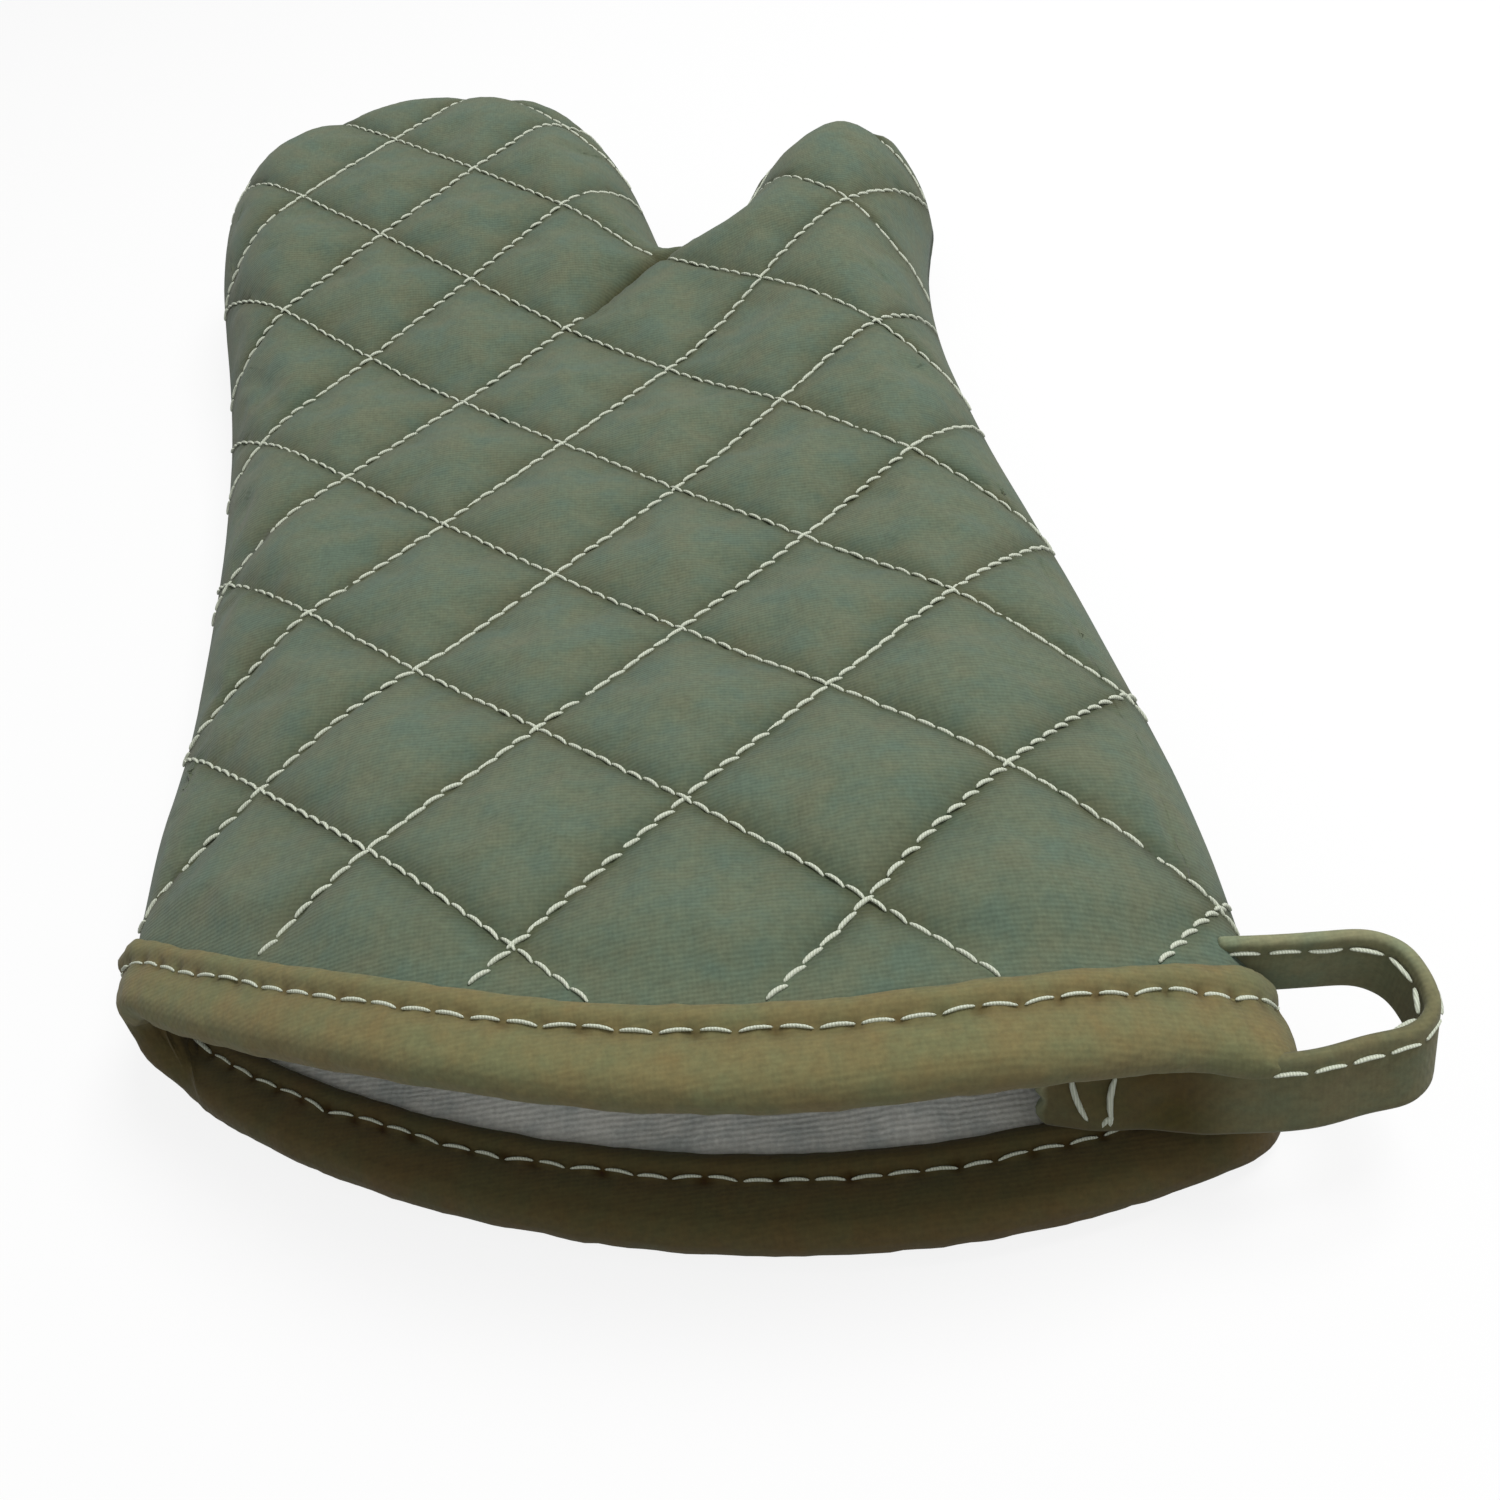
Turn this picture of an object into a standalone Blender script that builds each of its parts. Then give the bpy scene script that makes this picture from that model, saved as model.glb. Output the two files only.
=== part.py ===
"""A quilted oven mitt, palm side down, with a bound cuff and a hanging loop.

Metres, +Z up. +Y runs from the cuff to the fingertips and +X to the thumb side. The quilting
runs at 45 degrees to X and Y. The origin lies on the flat of a palm diamond, on the table.

Each half of the mitt is a quilted cloth of three layers: an outer shell, wadding and a lining.
A plan of each half is drawn flat and then raised. A point of it has a rim distance, which gives
the round of the side, and a puff, which is 0 on a quilting line and 1 inside a diamond.
"""

import math

import bmesh
import bpy
from mathutils import Vector

# Outline of the mitt, seen from above
MITT_LENGTH = 0.404
MITT_WIDTH = 0.230
BACK_CUFF_BOW = 0.023
PALM_CUFF_BOW = 0.027
BACK_CUFF_ROUND_SHARE = 1.0
PALM_CUFF_ROUND_SHARE = 0.78
SIDE_STEP = 0.0105
SIDE_STEPS_PER_SPAN = 2
CUFF_COLUMNS = 15
CUFF_CROWDING_SHARE = 0.65
CUFF_SEARCH_STEPS = 8

# Side curve from the left cuff corner round the fingers and the thumb to the right one:
# shares of the mitt's width and length, from the middle of each
SIDE_SHARES = (
    (-0.325, -0.347),
    (-0.350, -0.255),
    (-0.362, -0.160),
    (-0.392, 0.000),
    (-0.448, 0.190),
    (-0.490, 0.318),
    (-0.500, 0.405),
    (-0.474, 0.461),
    (-0.405, 0.497),
    (-0.230, 0.520),
    (-0.075, 0.508),
    (0.032, 0.456),
    (0.086, 0.373),
    (0.118, 0.287),
    (0.152, 0.243),
    (0.192, 0.262),
    (0.232, 0.308),
    (0.310, 0.350),
    (0.406, 0.356),
    (0.466, 0.326),
    (0.473, 0.272),
    (0.448, 0.205),
    (0.440, 0.110),
    (0.455, -0.020),
    (0.484, -0.160),
    (0.496, -0.300),
    (0.492, -0.385),
    (0.487, -0.443),
)

# Heights
SEAM_HEIGHT = 0.0105
CUFF_SEAM_RISE = 0.008
CUFF_SEAM_START = -0.060
CUFF_SEAM_REACH = 0.100
TIP_LIFT = 0.016
TIP_LIFT_START = 0.035
TIP_LIFT_REACH = 0.155
WAIST_RISE = 0.019
CUFF_RISE = 0.0245
CUFF_RISE_START = 0.0
CUFF_RISE_REACH = 0.150
FINGER_RISE = 0.025
FINGER_RISE_START = 0.020
FINGER_RISE_REACH = 0.100
THUMB_RISE = 0.007
THUMB_RISE_START = 0.030
THUMB_RISE_REACH = 0.040
THUMB_MIDDLE_Y = 0.060
THUMB_SPREAD = 0.110
CROWN_REACH = 0.027
CUFF_CROWN_LEFT_REACH = 0.072
CUFF_CROWN_RIGHT_REACH = 0.046

# The side's round edge, as degrees of its quarter turn, and how near counts as on it
EDGE_ROUND = 0.008
EDGE_TURNS = (0.0, 60.0, 90.0)
RIM_TOUCH = 0.00001
RIM_SHARING = 0.0004

# Cloth
SHELL_THICKNESS = 0.0010
LINING_THICKNESS = 0.0010
WADDING_STITCHED = 0.0015
WADDING_PUFF = 0.0037
LAYER_GAP = 0.0003
BACK_PUFF = 0.0028
PALM_PUFF = 0.0014
PUFF_ROUNDING_SHARE = 0.5
EDGE_PUFF_SHARE = 0.1
PUFF_FADE = 0.014

# Quilting: the spacing of the lines, and the middle of one diamond on each half
QUILT_SPACING = 0.0381
BACK_DIAMOND = (0.0010, -0.0235)
PALM_DIAMOND = (0.0030, 0.0060)
PALM_FLANK = 0.006
CUT_TOLERANCE = 0.000001
SLIVER_AREA = 0.00000001
THREAD_WIDTH = 0.0009
THREAD_DEPTH = 0.0004
THREAD_GAP = 0.00035
LINE_CHECKS = 8

# Closing seam, between the waddings of the two halves
SEAM_GAP = 0.0003
SEAM_THREAD = 0.0008

# Binding of the cuff
BINDING_WIDTH = 0.0100
BINDING_TAPE = 0.0010
BINDING_GAP = 0.0010
BINDING_CLEAR = 0.0020
TOPSTITCH_INSET = 0.0045
FLOOR_GAP = 0.0003
ROLL_STEPS = 6
BINDING_SKIN = BINDING_GAP + BINDING_TAPE
CUFF_BAND = BINDING_WIDTH + BINDING_CLEAR
CUFF_LIFT = BINDING_SKIN + THREAD_GAP + THREAD_DEPTH + FLOOR_GAP

# Hanging loop, of the same tape folded to its own width. It turns on an axis along Y
LOOP_TAPE_WIDTH = 0.0130
LOOP_TAPE_THICKNESS = 0.0024
LOOP_OUT = 0.0085
LOOP_FROM_CORNER = 0.0015
LOOP_OVER_SEAM = 0.0060
LOOP_SPREAD = 0.0200
LOOP_REACH = 0.0118
LOOP_CORNER = 0.0088
LOOP_CORNER_STEPS = 5
LOOP_END_TURNS = (25.0, 50.0, 75.0)
LOOP_STITCH_INSET = 0.0025
PRESSED_SHARE = 0.75
PRESSED_FROM_SHARE = 0.45
LAP_GAP = 0.0003
LAP = LOOP_TAPE_THICKNESS + LAP_GAP
LOOP_STITCH_START = LOOP_TAPE_WIDTH * 0.5 + LAP_GAP

# The loop's near end: steps back along X from the axis, and the last places in from the cuff
NEAR_FRONT = 0.0085
NEAR_TURN = 0.0195
NEAR_TURN_DROP = 0.0010
NEAR_TURN_IN = 0.0020
NEAR_CLEAR = 0.0016
NEAR_MOUTH = 0.0300
NEAR_MIDDLE = 0.0385
NEAR_END = 0.0465
NEAR_MOUTH_DEPTH = 0.0025
NEAR_MIDDLE_DEPTH = 0.0065
NEAR_END_DEPTH = 0.0110
NEAR_STEPS_PER_SPAN = 3
TACK_WIDTH = 0.0010
TACK_LENGTH = 0.0110
TACK_PLACES = (0.0360, 0.0405)

CANVAS_GREEN = (0.125, 0.150, 0.103)
TAPE_KHAKI = (0.170, 0.150, 0.075)
THREAD_PALE = (0.580, 0.630, 0.510)
LINING_WHITE = (0.640, 0.650, 0.620)
WADDING_WHITE = (0.780, 0.760, 0.700)

# Each half's bow at the cuff: its depth and how full its ends are
BACK_BOW = (BACK_CUFF_BOW, BACK_CUFF_ROUND_SHARE)
PALM_BOW = (PALM_CUFF_BOW, PALM_CUFF_ROUND_SHARE)

UP = Vector((0.0, 0.0, 1.0))
ALONG = Vector((1.0, 1.0)).normalized()
DOWN = Vector((1.0, -1.0)).normalized()


def smooth(share):
    """A smooth step from 0 to 1 as share goes from 0 to 1."""
    share = min(max(share, 0.0), 1.0)
    return share * share * (3.0 - 2.0 * share)


def plan_point(shares):
    """A point of the outline from its shares of the mitt's width and length."""
    return Vector((shares[0] * MITT_WIDTH, shares[1] * MITT_LENGTH))


def curve_through(points, steps):
    """Points of a smooth curve through the given ones, with steps to each span."""
    curve = []
    last = len(points) - 1
    for i in range(last):
        before, start = points[max(i - 1, 0)], points[i]
        end, after = points[i + 1], points[min(i + 2, last)]
        bend = 2.0 * before - 5.0 * start + 4.0 * end - after
        twist = 3.0 * start - 3.0 * end + after - before
        for step in range(steps):
            t = step / steps
            curve.append(start + 0.5 * ((end - before) * t + bend * t**2 + twist * t**3))
    curve.append(points[last])
    return curve


def across_cuff(x):
    """Share of the way from the left cuff corner to the right one."""
    left, right = plan_point(SIDE_SHARES[0]), plan_point(SIDE_SHARES[-1])
    return (x - left.x) / (right.x - left.x)


def cuff_y(x, bow):
    """Place along the mitt of a half's bowed cuff edge, at a place across it."""
    left, right = plan_point(SIDE_SHARES[0]), plan_point(SIDE_SHARES[-1])
    t = across_cuff(x)
    depth, rounding = bow
    return left.y + (right.y - left.y) * t - depth * max(4.0 * t * (1.0 - t), 0.0) ** rounding


def from_cuff(point, bow):
    """How far a plan point lies in from a half's cuff edge."""
    return point.y - cuff_y(point.x, bow)


def side_curve():
    """The side curve, evenly spaced enough for the mesh and straight where the binding lies."""
    points = curve_through([plan_point(shares) for shares in SIDE_SHARES], SIDE_STEPS_PER_SPAN)
    kept = [points[0]]
    for point in points[1:-1]:
        past_binding = from_cuff(point, BACK_BOW) > CUFF_BAND + BINDING_CLEAR
        room = (point - points[-1]).length > SIDE_STEP and (point - kept[-1]).length > SIDE_STEP
        if past_binding and room:
            kept.append(point)
    kept.append(points[-1])
    return kept


SIDE = side_curve()


def rim(point):
    """Distance of a plan point from the side curve, and the direction away from it.

    Between two stretches of the curve that are about as near, the direction is shared.
    """
    near = []
    for start, end in zip(SIDE, SIDE[1:]):
        along = end - start
        t = (point - start).dot(along) / along.length_squared
        if start is not SIDE[0]:
            t = max(t, 0.0)
        if end is not SIDE[-1]:
            t = min(t, 1.0)
        foot = start + along * t
        distance = (point - foot).length
        inwards = Vector((along.y, -along.x)).normalized()
        near.append((distance, (point - foot) / distance if distance > RIM_TOUCH else inwards))
    best = min(distance for distance, _ in near)
    shared = Vector((0.0, 0.0))
    for distance, away in near:
        if distance - best < RIM_SHARING:
            shared += away * (1.0 - (distance - best) / RIM_SHARING)
    return best, shared.normalized()


def edge_distance(turn):
    """Rim distance at which the side's round edge has turned so many degrees."""
    return EDGE_ROUND * (1.0 - math.cos(math.radians(turn)))


def lift(y):
    """How far the palm curls up from the table towards the fingertips."""
    return TIP_LIFT * smooth((y - TIP_LIFT_START) / TIP_LIFT_REACH)


def seam_over_palm(y):
    """Height of the side seam over the palm, more towards the open cuff."""
    return SEAM_HEIGHT + CUFF_SEAM_RISE * smooth((CUFF_SEAM_START - y) / CUFF_SEAM_REACH)


def crown(point):
    """Height of the back's middle over the side seam: full at the cuff, the fingers and the thumb."""
    cuff = smooth((CUFF_RISE_START - point.y) / CUFF_RISE_REACH)
    fingers = smooth((point.y - FINGER_RISE_START) / FINGER_RISE_REACH)
    thumb = smooth((point.x - THUMB_RISE_START) / THUMB_RISE_REACH)
    thumb *= smooth(1.0 - abs(point.y - THUMB_MIDDLE_Y) / THUMB_SPREAD)
    rise = WAIST_RISE + (CUFF_RISE - WAIST_RISE) * cuff
    return rise + (FINGER_RISE - WAIST_RISE) * fingers + THUMB_RISE * thumb


def crown_reach(point):
    """How far in from the side the back rises: a short way, and a longer one at the open cuff."""
    cuff = smooth((CUFF_RISE_START - point.y) / CUFF_RISE_REACH)
    across = min(max(across_cuff(point.x), 0.0), 1.0)
    at_cuff = CUFF_CROWN_LEFT_REACH + (CUFF_CROWN_RIGHT_REACH - CUFF_CROWN_LEFT_REACH) * across
    return CROWN_REACH + (at_cuff - CROWN_REACH) * cuff


def quilt_place(point, middle):
    """Where a plan point lies among the diamonds, as shares of their spacing from one's middle."""
    offset = Vector((point.x - middle[0], point.y - middle[1]))
    return offset.dot(ALONG) / QUILT_SPACING, offset.dot(DOWN) / QUILT_SPACING


def round_puff(point, middle):
    """1 in the middle of a diamond and 0 on the quilting lines."""
    across, down = quilt_place(point, middle)
    return abs(math.cos(math.pi * across) * math.cos(math.pi * down)) ** PUFF_ROUNDING_SHARE


def pressed_puff(point, middle):
    """1 on the flat of a diamond that lies on the table and 0 on the quilting lines."""
    across, down = quilt_place(point, middle)
    nearest = min(abs(0.5 - across % 1.0), abs(0.5 - down % 1.0)) * QUILT_SPACING
    return min(nearest / PALM_FLANK, 1.0)


class Half:
    """The surface of one half of the mitt, its layers' depths and its quilting."""

    def __init__(self, up, middle, puff, height, bow):
        self.up = up
        self.middle = middle
        self.puff = puff
        self.height = height
        self.bow = bow

    def quilted(self, point):
        """0 under the binding and 1 where the quilting shows in full."""
        return smooth((from_cuff(point, self.bow) - BINDING_WIDTH) / PUFF_FADE)

    def fullness(self, point):
        """Share of the full puff at a plan point, even under the binding and 0 at the rim."""
        quilted = self.quilted(point)
        full = self.puff(point, self.middle) * quilted + EDGE_PUFF_SHARE * (1.0 - quilted)
        return full * smooth(rim(point)[0] / (EDGE_ROUND + PUFF_FADE))

    def inward(self, point):
        """Direction through the cloth, from the outer face in."""
        distance, away = rim(point)
        turn = math.acos(1.0 - min(distance / EDGE_ROUND, 1.0))
        return Vector((away.x * math.cos(turn), away.y * math.cos(turn), -self.up * math.sin(turn)))

    def surface(self, point):
        """The outer face at a plan point."""
        distance, _ = rim(point)
        turn = math.acos(1.0 - min(distance / EDGE_ROUND, 1.0))
        seam = seam_over_palm(point.y) + lift(point.y)
        if self.up > 0:
            bulge = math.sin(0.5 * math.pi * min(distance / crown_reach(point), 1.0))
            rise = EDGE_ROUND * math.sin(turn) + (crown(point) - EDGE_ROUND) * bulge
            rise += self.height * (self.fullness(point) - EDGE_PUFF_SHARE) * math.sin(turn)
            return Vector((point.x, point.y, seam + rise))
        quilted = self.quilted(point)
        drop = seam_over_palm(point.y) - CUFF_LIFT * (1.0 - quilted)
        drop -= self.height * (1.0 - self.puff(point, self.middle)) * quilted
        return Vector((point.x, point.y, seam - drop * math.sin(turn)))

    def layers(self, point):
        """Depths of the layers' faces: shell, wadding and lining, each as outer and inner."""
        wadding = WADDING_STITCHED + WADDING_PUFF * self.fullness(point)
        wadding_face = SHELL_THICKNESS + LAYER_GAP
        lining_face = wadding_face + wadding + LAYER_GAP
        return (
            (0.0, SHELL_THICKNESS),
            (wadding_face, wadding_face + wadding),
            (lining_face, lining_face + LINING_THICKNESS),
        )

    def thickness(self, point):
        """Thickness of the whole quilted cloth."""
        return self.layers(point)[-1][1]

    def at(self, point, depth):
        """The point this deep in the cloth under a plan point."""
        return self.surface(point) + self.inward(point) * depth

    def layer_point(self, point, index, face):
        """A point of a layer's outer or inner face. At the rim it keeps clear of the other half."""
        placed = self.at(point, self.layers(point)[index][face])
        distance, away = rim(point)
        if distance > RIM_TOUCH:
            return placed
        room = SEAM_GAP * 0.5
        if 0 < index < len(self.layers(point)) - 1:
            room += SEAM_THREAD * 0.5 + LAYER_GAP
        above = point + away * edge_distance(EDGE_TURNS[1])
        towards = self.at(above, self.layers(above)[index][face])
        return placed.lerp(towards, room / abs(towards.z - placed.z))


BACK = Half(1.0, BACK_DIAMOND, round_puff, BACK_PUFF, BACK_BOW)
PALM = Half(-1.0, PALM_DIAMOND, pressed_puff, PALM_PUFF, PALM_BOW)


def rim_rings():
    """Rows of plan points along the side curve, each a step further in."""
    rows = []
    last = len(SIDE) - 1
    for distance in map(edge_distance, EDGE_TURNS):
        row = []
        for i, point in enumerate(SIDE):
            into = (SIDE[max(i, 1)] - SIDE[max(i, 1) - 1]).normalized()
            out = (SIDE[min(i, last - 1) + 1] - SIDE[min(i, last - 1)]).normalized()
            first, second = Vector((into.y, -into.x)), Vector((out.y, -out.x))
            normal = (first + second).normalized()
            row.append(point + normal * distance / normal.dot(first))
        rows.append(row)
    return rows


def on_cuff(point, towards, distance, bow):
    """The point this far in from the cuff's edge, on the line between two plan points."""
    direction = (towards - point).normalized()
    for _ in range(CUFF_SEARCH_STEPS):
        point = point - direction * ((from_cuff(point, bow) - distance) / direction.y)
    return point


def cuff_columns(bow):
    """Pairs of plan points across the cuff: on its edge, and past the binding's band."""
    rings = rim_rings()
    lefts = [(ring[0], ring[1]) for ring in rings]
    rights = [(ring[-1], ring[-2]) for ring in reversed(rings)]
    lefts = [(on_cuff(p, q, 0.0, bow), on_cuff(p, q, CUFF_BAND, bow)) for p, q in lefts]
    rights = [(on_cuff(p, q, 0.0, bow), on_cuff(p, q, CUFF_BAND, bow)) for p, q in rights]
    columns = list(lefts)
    for i in range(1, CUFF_COLUMNS):
        whole_turn = 2.0 * math.pi
        t = i / CUFF_COLUMNS
        t -= CUFF_CROWDING_SHARE * math.sin(whole_turn * t) / whole_turn
        low = lefts[-1][0].lerp(rights[0][0], t)
        high = lefts[-1][1].lerp(rights[0][1], t)
        low.y = cuff_y(low.x, bow)
        high.y = cuff_y(high.x, bow) + CUFF_BAND
        columns.append((low, high))
    return columns + rights


def cut_faces(mesh, faces, normal, offset):
    """Cut some flat faces along a line in plan, and return the faces they then are."""
    parts = set(faces)
    parts.update(edge for face in faces for edge in face.edges)
    parts.update(vert for face in faces for vert in face.verts)
    way = Vector((normal.x, normal.y, 0.0))
    cut = bmesh.ops.bisect_plane(
        mesh, geom=list(parts), dist=CUT_TOLERANCE, plane_co=way * offset, plane_no=way
    )
    return [item for item in cut["geom"] if isinstance(item, bmesh.types.BMFace)]


def plan_mesh(half):
    """The flat mesh of one half: rim rows, the cuff's band, and the middle cut by the quilting."""
    mesh = bmesh.new()
    rings = rim_rings()
    columns = cuff_columns(half.bow)
    cuff_row = [mesh.verts.new((low.x, low.y, 0.0)) for low, _ in columns]
    band_row = [mesh.verts.new((high.x, high.y, 0.0)) for _, high in columns]
    for i in range(len(columns) - 1):
        mesh.faces.new((cuff_row[i], cuff_row[i + 1], band_row[i + 1], band_row[i]))
    rows = []
    for i, ring in enumerate(rings):
        row = [mesh.verts.new((p.x, p.y, 0.0)) for p in ring[1:-1]]
        rows.append([band_row[i], *row, band_row[len(columns) - 1 - i]])
    for outer, inner in zip(rows, rows[1:]):
        for i in range(len(outer) - 1):
            mesh.faces.new((outer[i + 1], outer[i], inner[i], inner[i + 1]))
    band_middle = band_row[len(rings) : len(columns) - len(rings)]
    middle = mesh.faces.new(list(reversed(rows[-1])) + band_middle)
    middle.normal_update()
    faces = [middle]
    reach = 2 * int(MITT_LENGTH / QUILT_SPACING)
    for normal in (ALONG, DOWN):
        centre = Vector(half.middle).dot(normal)
        for i in range(-reach, reach):
            faces = cut_faces(mesh, faces, normal, centre + QUILT_SPACING * 0.5 * i)
    if half is PALM:
        cut_flat(mesh, faces, half)
    split_faces(mesh, half)
    return mesh


def cut_flat(mesh, faces, half):
    """Cut the flat of the diamond that holds the origin, inside its sloping flanks."""
    reach = QUILT_SPACING * 0.5 - PALM_FLANK
    inner = []
    for face in faces:
        across, down = quilt_place(face.calc_center_median(), half.middle)
        if abs(across) < 0.5 and abs(down) < 0.5:
            inner.append(face)
    for normal in (ALONG, DOWN):
        centre = Vector(half.middle).dot(normal)
        for offset in (-reach, reach):
            inner = cut_faces(mesh, inner, normal, centre + offset)


def split_faces(mesh, half):
    """Split every face into triangles. A quad is split from its fullest corner where it can be."""
    for face in [f for f in mesh.faces if len(f.verts) == 4]:
        corners = list(face.verts)
        puffs = [half.puff(vert.co, half.middle) for vert in corners]
        fullest = puffs.index(max(puffs))
        for first in (fullest, fullest + 1):
            a, b, c, d = (corners[(first + k) % 4] for k in range(4))
            middle = c.co - a.co
            areas = ((b.co - a.co).cross(middle).z, middle.cross(d.co - a.co).z)
            if min(areas) > SLIVER_AREA or max(areas) < -SLIVER_AREA:
                bmesh.utils.face_split(face, a, c)
                break
    bmesh.ops.triangulate(mesh, faces=[f for f in mesh.faces if len(f.verts) > 3])


def material(name, colour, roughness):
    """A cloth or thread finish."""
    finish = bpy.data.materials.new(name)
    finish.use_nodes = True
    shader = finish.node_tree.nodes["Principled BSDF"]
    shader.inputs["Base Color"].default_value = (*colour, 1.0)
    shader.inputs["Roughness"].default_value = roughness
    shader.inputs["Metallic"].default_value = 0.0
    return finish


def add_object(name, mesh, finish, parent=None):
    """Make an object from a bmesh, under its hinge if it has one."""
    bmesh.ops.recalc_face_normals(mesh, faces=mesh.faces)
    data = bpy.data.meshes.new(name)
    mesh.to_mesh(data)
    mesh.free()
    data.materials.append(finish)
    made = bpy.data.objects.new(name, data)
    bpy.context.scene.collection.objects.link(made)
    made.parent = parent
    return made


def thicken(mesh, outer_place, inner_place):
    """Close a flat mesh into a layer, with a place for each plan point on both of its faces."""
    outer = list(mesh.verts)
    grown = bmesh.ops.extrude_face_region(mesh, geom=list(mesh.faces), use_keep_orig=True)
    inner = [item for item in grown["geom"] if isinstance(item, bmesh.types.BMVert)]
    for vert in outer:
        vert.co = outer_place(vert.co.xy)
    for vert in inner:
        vert.co = inner_place(vert.co.xy)


def cloth_layer(name, half, index, finish):
    """One layer of a half: its plan raised to the layer's outer face and closed to its inner one."""
    mesh = plan_mesh(half)
    thicken(mesh, lambda p: half.layer_point(p, index, 0), lambda p: half.layer_point(p, index, 1))
    return add_object(name, mesh, finish)


def tube_along(mesh, sections, closed):
    """Faces between successive sections, closed into a ring or capped at both ends."""
    rows = [[mesh.verts.new(p) for p in section] for section in sections]
    pairs = list(zip(rows, rows[1:]))
    if closed:
        pairs.append((rows[-1], rows[0]))
    count = len(rows[0])
    for row, following in pairs:
        for i in range(count):
            j = (i + 1) % count
            mesh.faces.new((row[i], row[j], following[j], following[i]))
    if not closed:
        mesh.faces.new(rows[0])
        mesh.faces.new(list(reversed(rows[-1])))


def crossing_points(half):
    """The quilting lines' crossings, as (row, column) to plan point."""
    reach = int(MITT_LENGTH / QUILT_SPACING) + 1
    found = {}
    for i in range(-reach, reach):
        for j in range(-reach, reach):
            offset = ALONG * (i + 0.5) + DOWN * (j + 0.5)
            found[i, j] = Vector(half.middle) + offset * QUILT_SPACING
    return found


def inside(point, bow):
    """Whether a plan point lies within the side curve and a half's cuff edge."""
    crossings = 0
    for a, b in zip(SIDE, SIDE[1:]):
        if (a.y > point.y) != (b.y > point.y):
            if point.x < a.x + (point.y - a.y) * (b.x - a.x) / (b.y - a.y):
                crossings += 1
    left, right = SIDE[0], SIDE[-1]
    between = left.x < point.x < right.x
    if between and point.y < max(left.y, right.y):
        return from_cuff(point, bow) > 0.0
    return crossings % 2 == 1


def stitched_at(point, bow):
    """Whether quilting can lie at a plan point: off the side's round edge and off the binding."""
    if from_cuff(point, bow) < CUFF_BAND + THREAD_WIDTH or not inside(point, bow):
        return False
    return rim(point)[0] > EDGE_ROUND + THREAD_WIDTH


def stitched_between(start, end, bow):
    """Whether the whole stitch line between two crossings lies on the quilted cloth."""
    return all(stitched_at(start.lerp(end, i / LINE_CHECKS), bow) for i in range(LINE_CHECKS + 1))


def run_out(point, direction, bow):
    """Plan points from a crossing to where its line stops short of the side or the binding."""
    step = THREAD_WIDTH * 0.25
    length = 0.0
    while stitched_at(point + direction * (length + step), bow):
        length += step
    if length < THREAD_WIDTH * 2.0:
        return []
    halfway = QUILT_SPACING * 0.5
    stops = [halfway, length] if length > halfway + THREAD_WIDTH else [length]
    return [point + direction * stop for stop in stops]


def quilting_thread(name, half, finish):
    """The quilting of one half as one net: a patch at each crossing and a strip along each line."""
    mesh = bmesh.new()
    crossings = {key: p for key, p in crossing_points(half).items() if stitched_at(p, half.bow)}
    side = THREAD_WIDTH * 0.5

    def place(point):
        return mesh.verts.new((point.x, point.y, 0.0))

    patches = {}
    for key, p in crossings.items():
        patch = {(a, b): place(p + (ALONG * a + DOWN * b) * side) for a in (-1, 1) for b in (-1, 1)}
        mesh.faces.new((patch[-1, -1], patch[1, -1], patch[1, 1], patch[-1, 1]))
        patches[key] = patch
    for key, p in crossings.items():
        for di, dj in ((1, 0), (-1, 0), (0, 1), (0, -1)):
            way, across = ALONG * di + DOWN * dj, (DOWN if di else ALONG) * side
            near = [patches[key][(di, b) if di else (b, dj)] for b in (-1, 1)]
            other = (key[0] + di, key[1] + dj)
            joined = other in crossings and stitched_between(p, crossings[other], half.bow)
            if joined and (di < 0 or dj < 0):
                continue
            stations = [p.lerp(crossings[other], 0.5)] if joined else run_out(p, way, half.bow)
            rows = [near] + [[place(at - across), place(at + across)] for at in stations]
            if joined:
                rows.append([patches[other][(-di, b) if di else (b, -dj)] for b in (-1, 1)])
            for row, following in zip(rows, rows[1:]):
                mesh.faces.new((row[0], row[1], following[1], following[0]))
    bmesh.ops.recalc_face_normals(mesh, faces=mesh.faces)
    thicken(
        mesh,
        lambda p: half.at(p, -(THREAD_GAP + THREAD_DEPTH)),
        lambda p: half.at(p, -THREAD_GAP),
    )
    return add_object(name, mesh, finish)


def mouth_stations():
    """The cuff's columns once round the mouth: across the back, and back across the palm."""
    stations = [(BACK, low, high) for low, high in cuff_columns(BACK.bow)]
    return stations + [(PALM, low, high) for low, high in reversed(cuff_columns(PALM.bow)[1:-1])]


def band_point(station, distance, on_lining, clearance):
    """A point so far in from the cuff's edge and so clear of the cloth, outside or inside it."""
    half, low, high = station
    ends = []
    for plan in (low, high):
        depth = half.thickness(plan) + clearance if on_lining else -clearance
        ends.append(half.at(plan, depth))
    return ends[0].lerp(ends[1], distance / CUFF_BAND)


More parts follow.
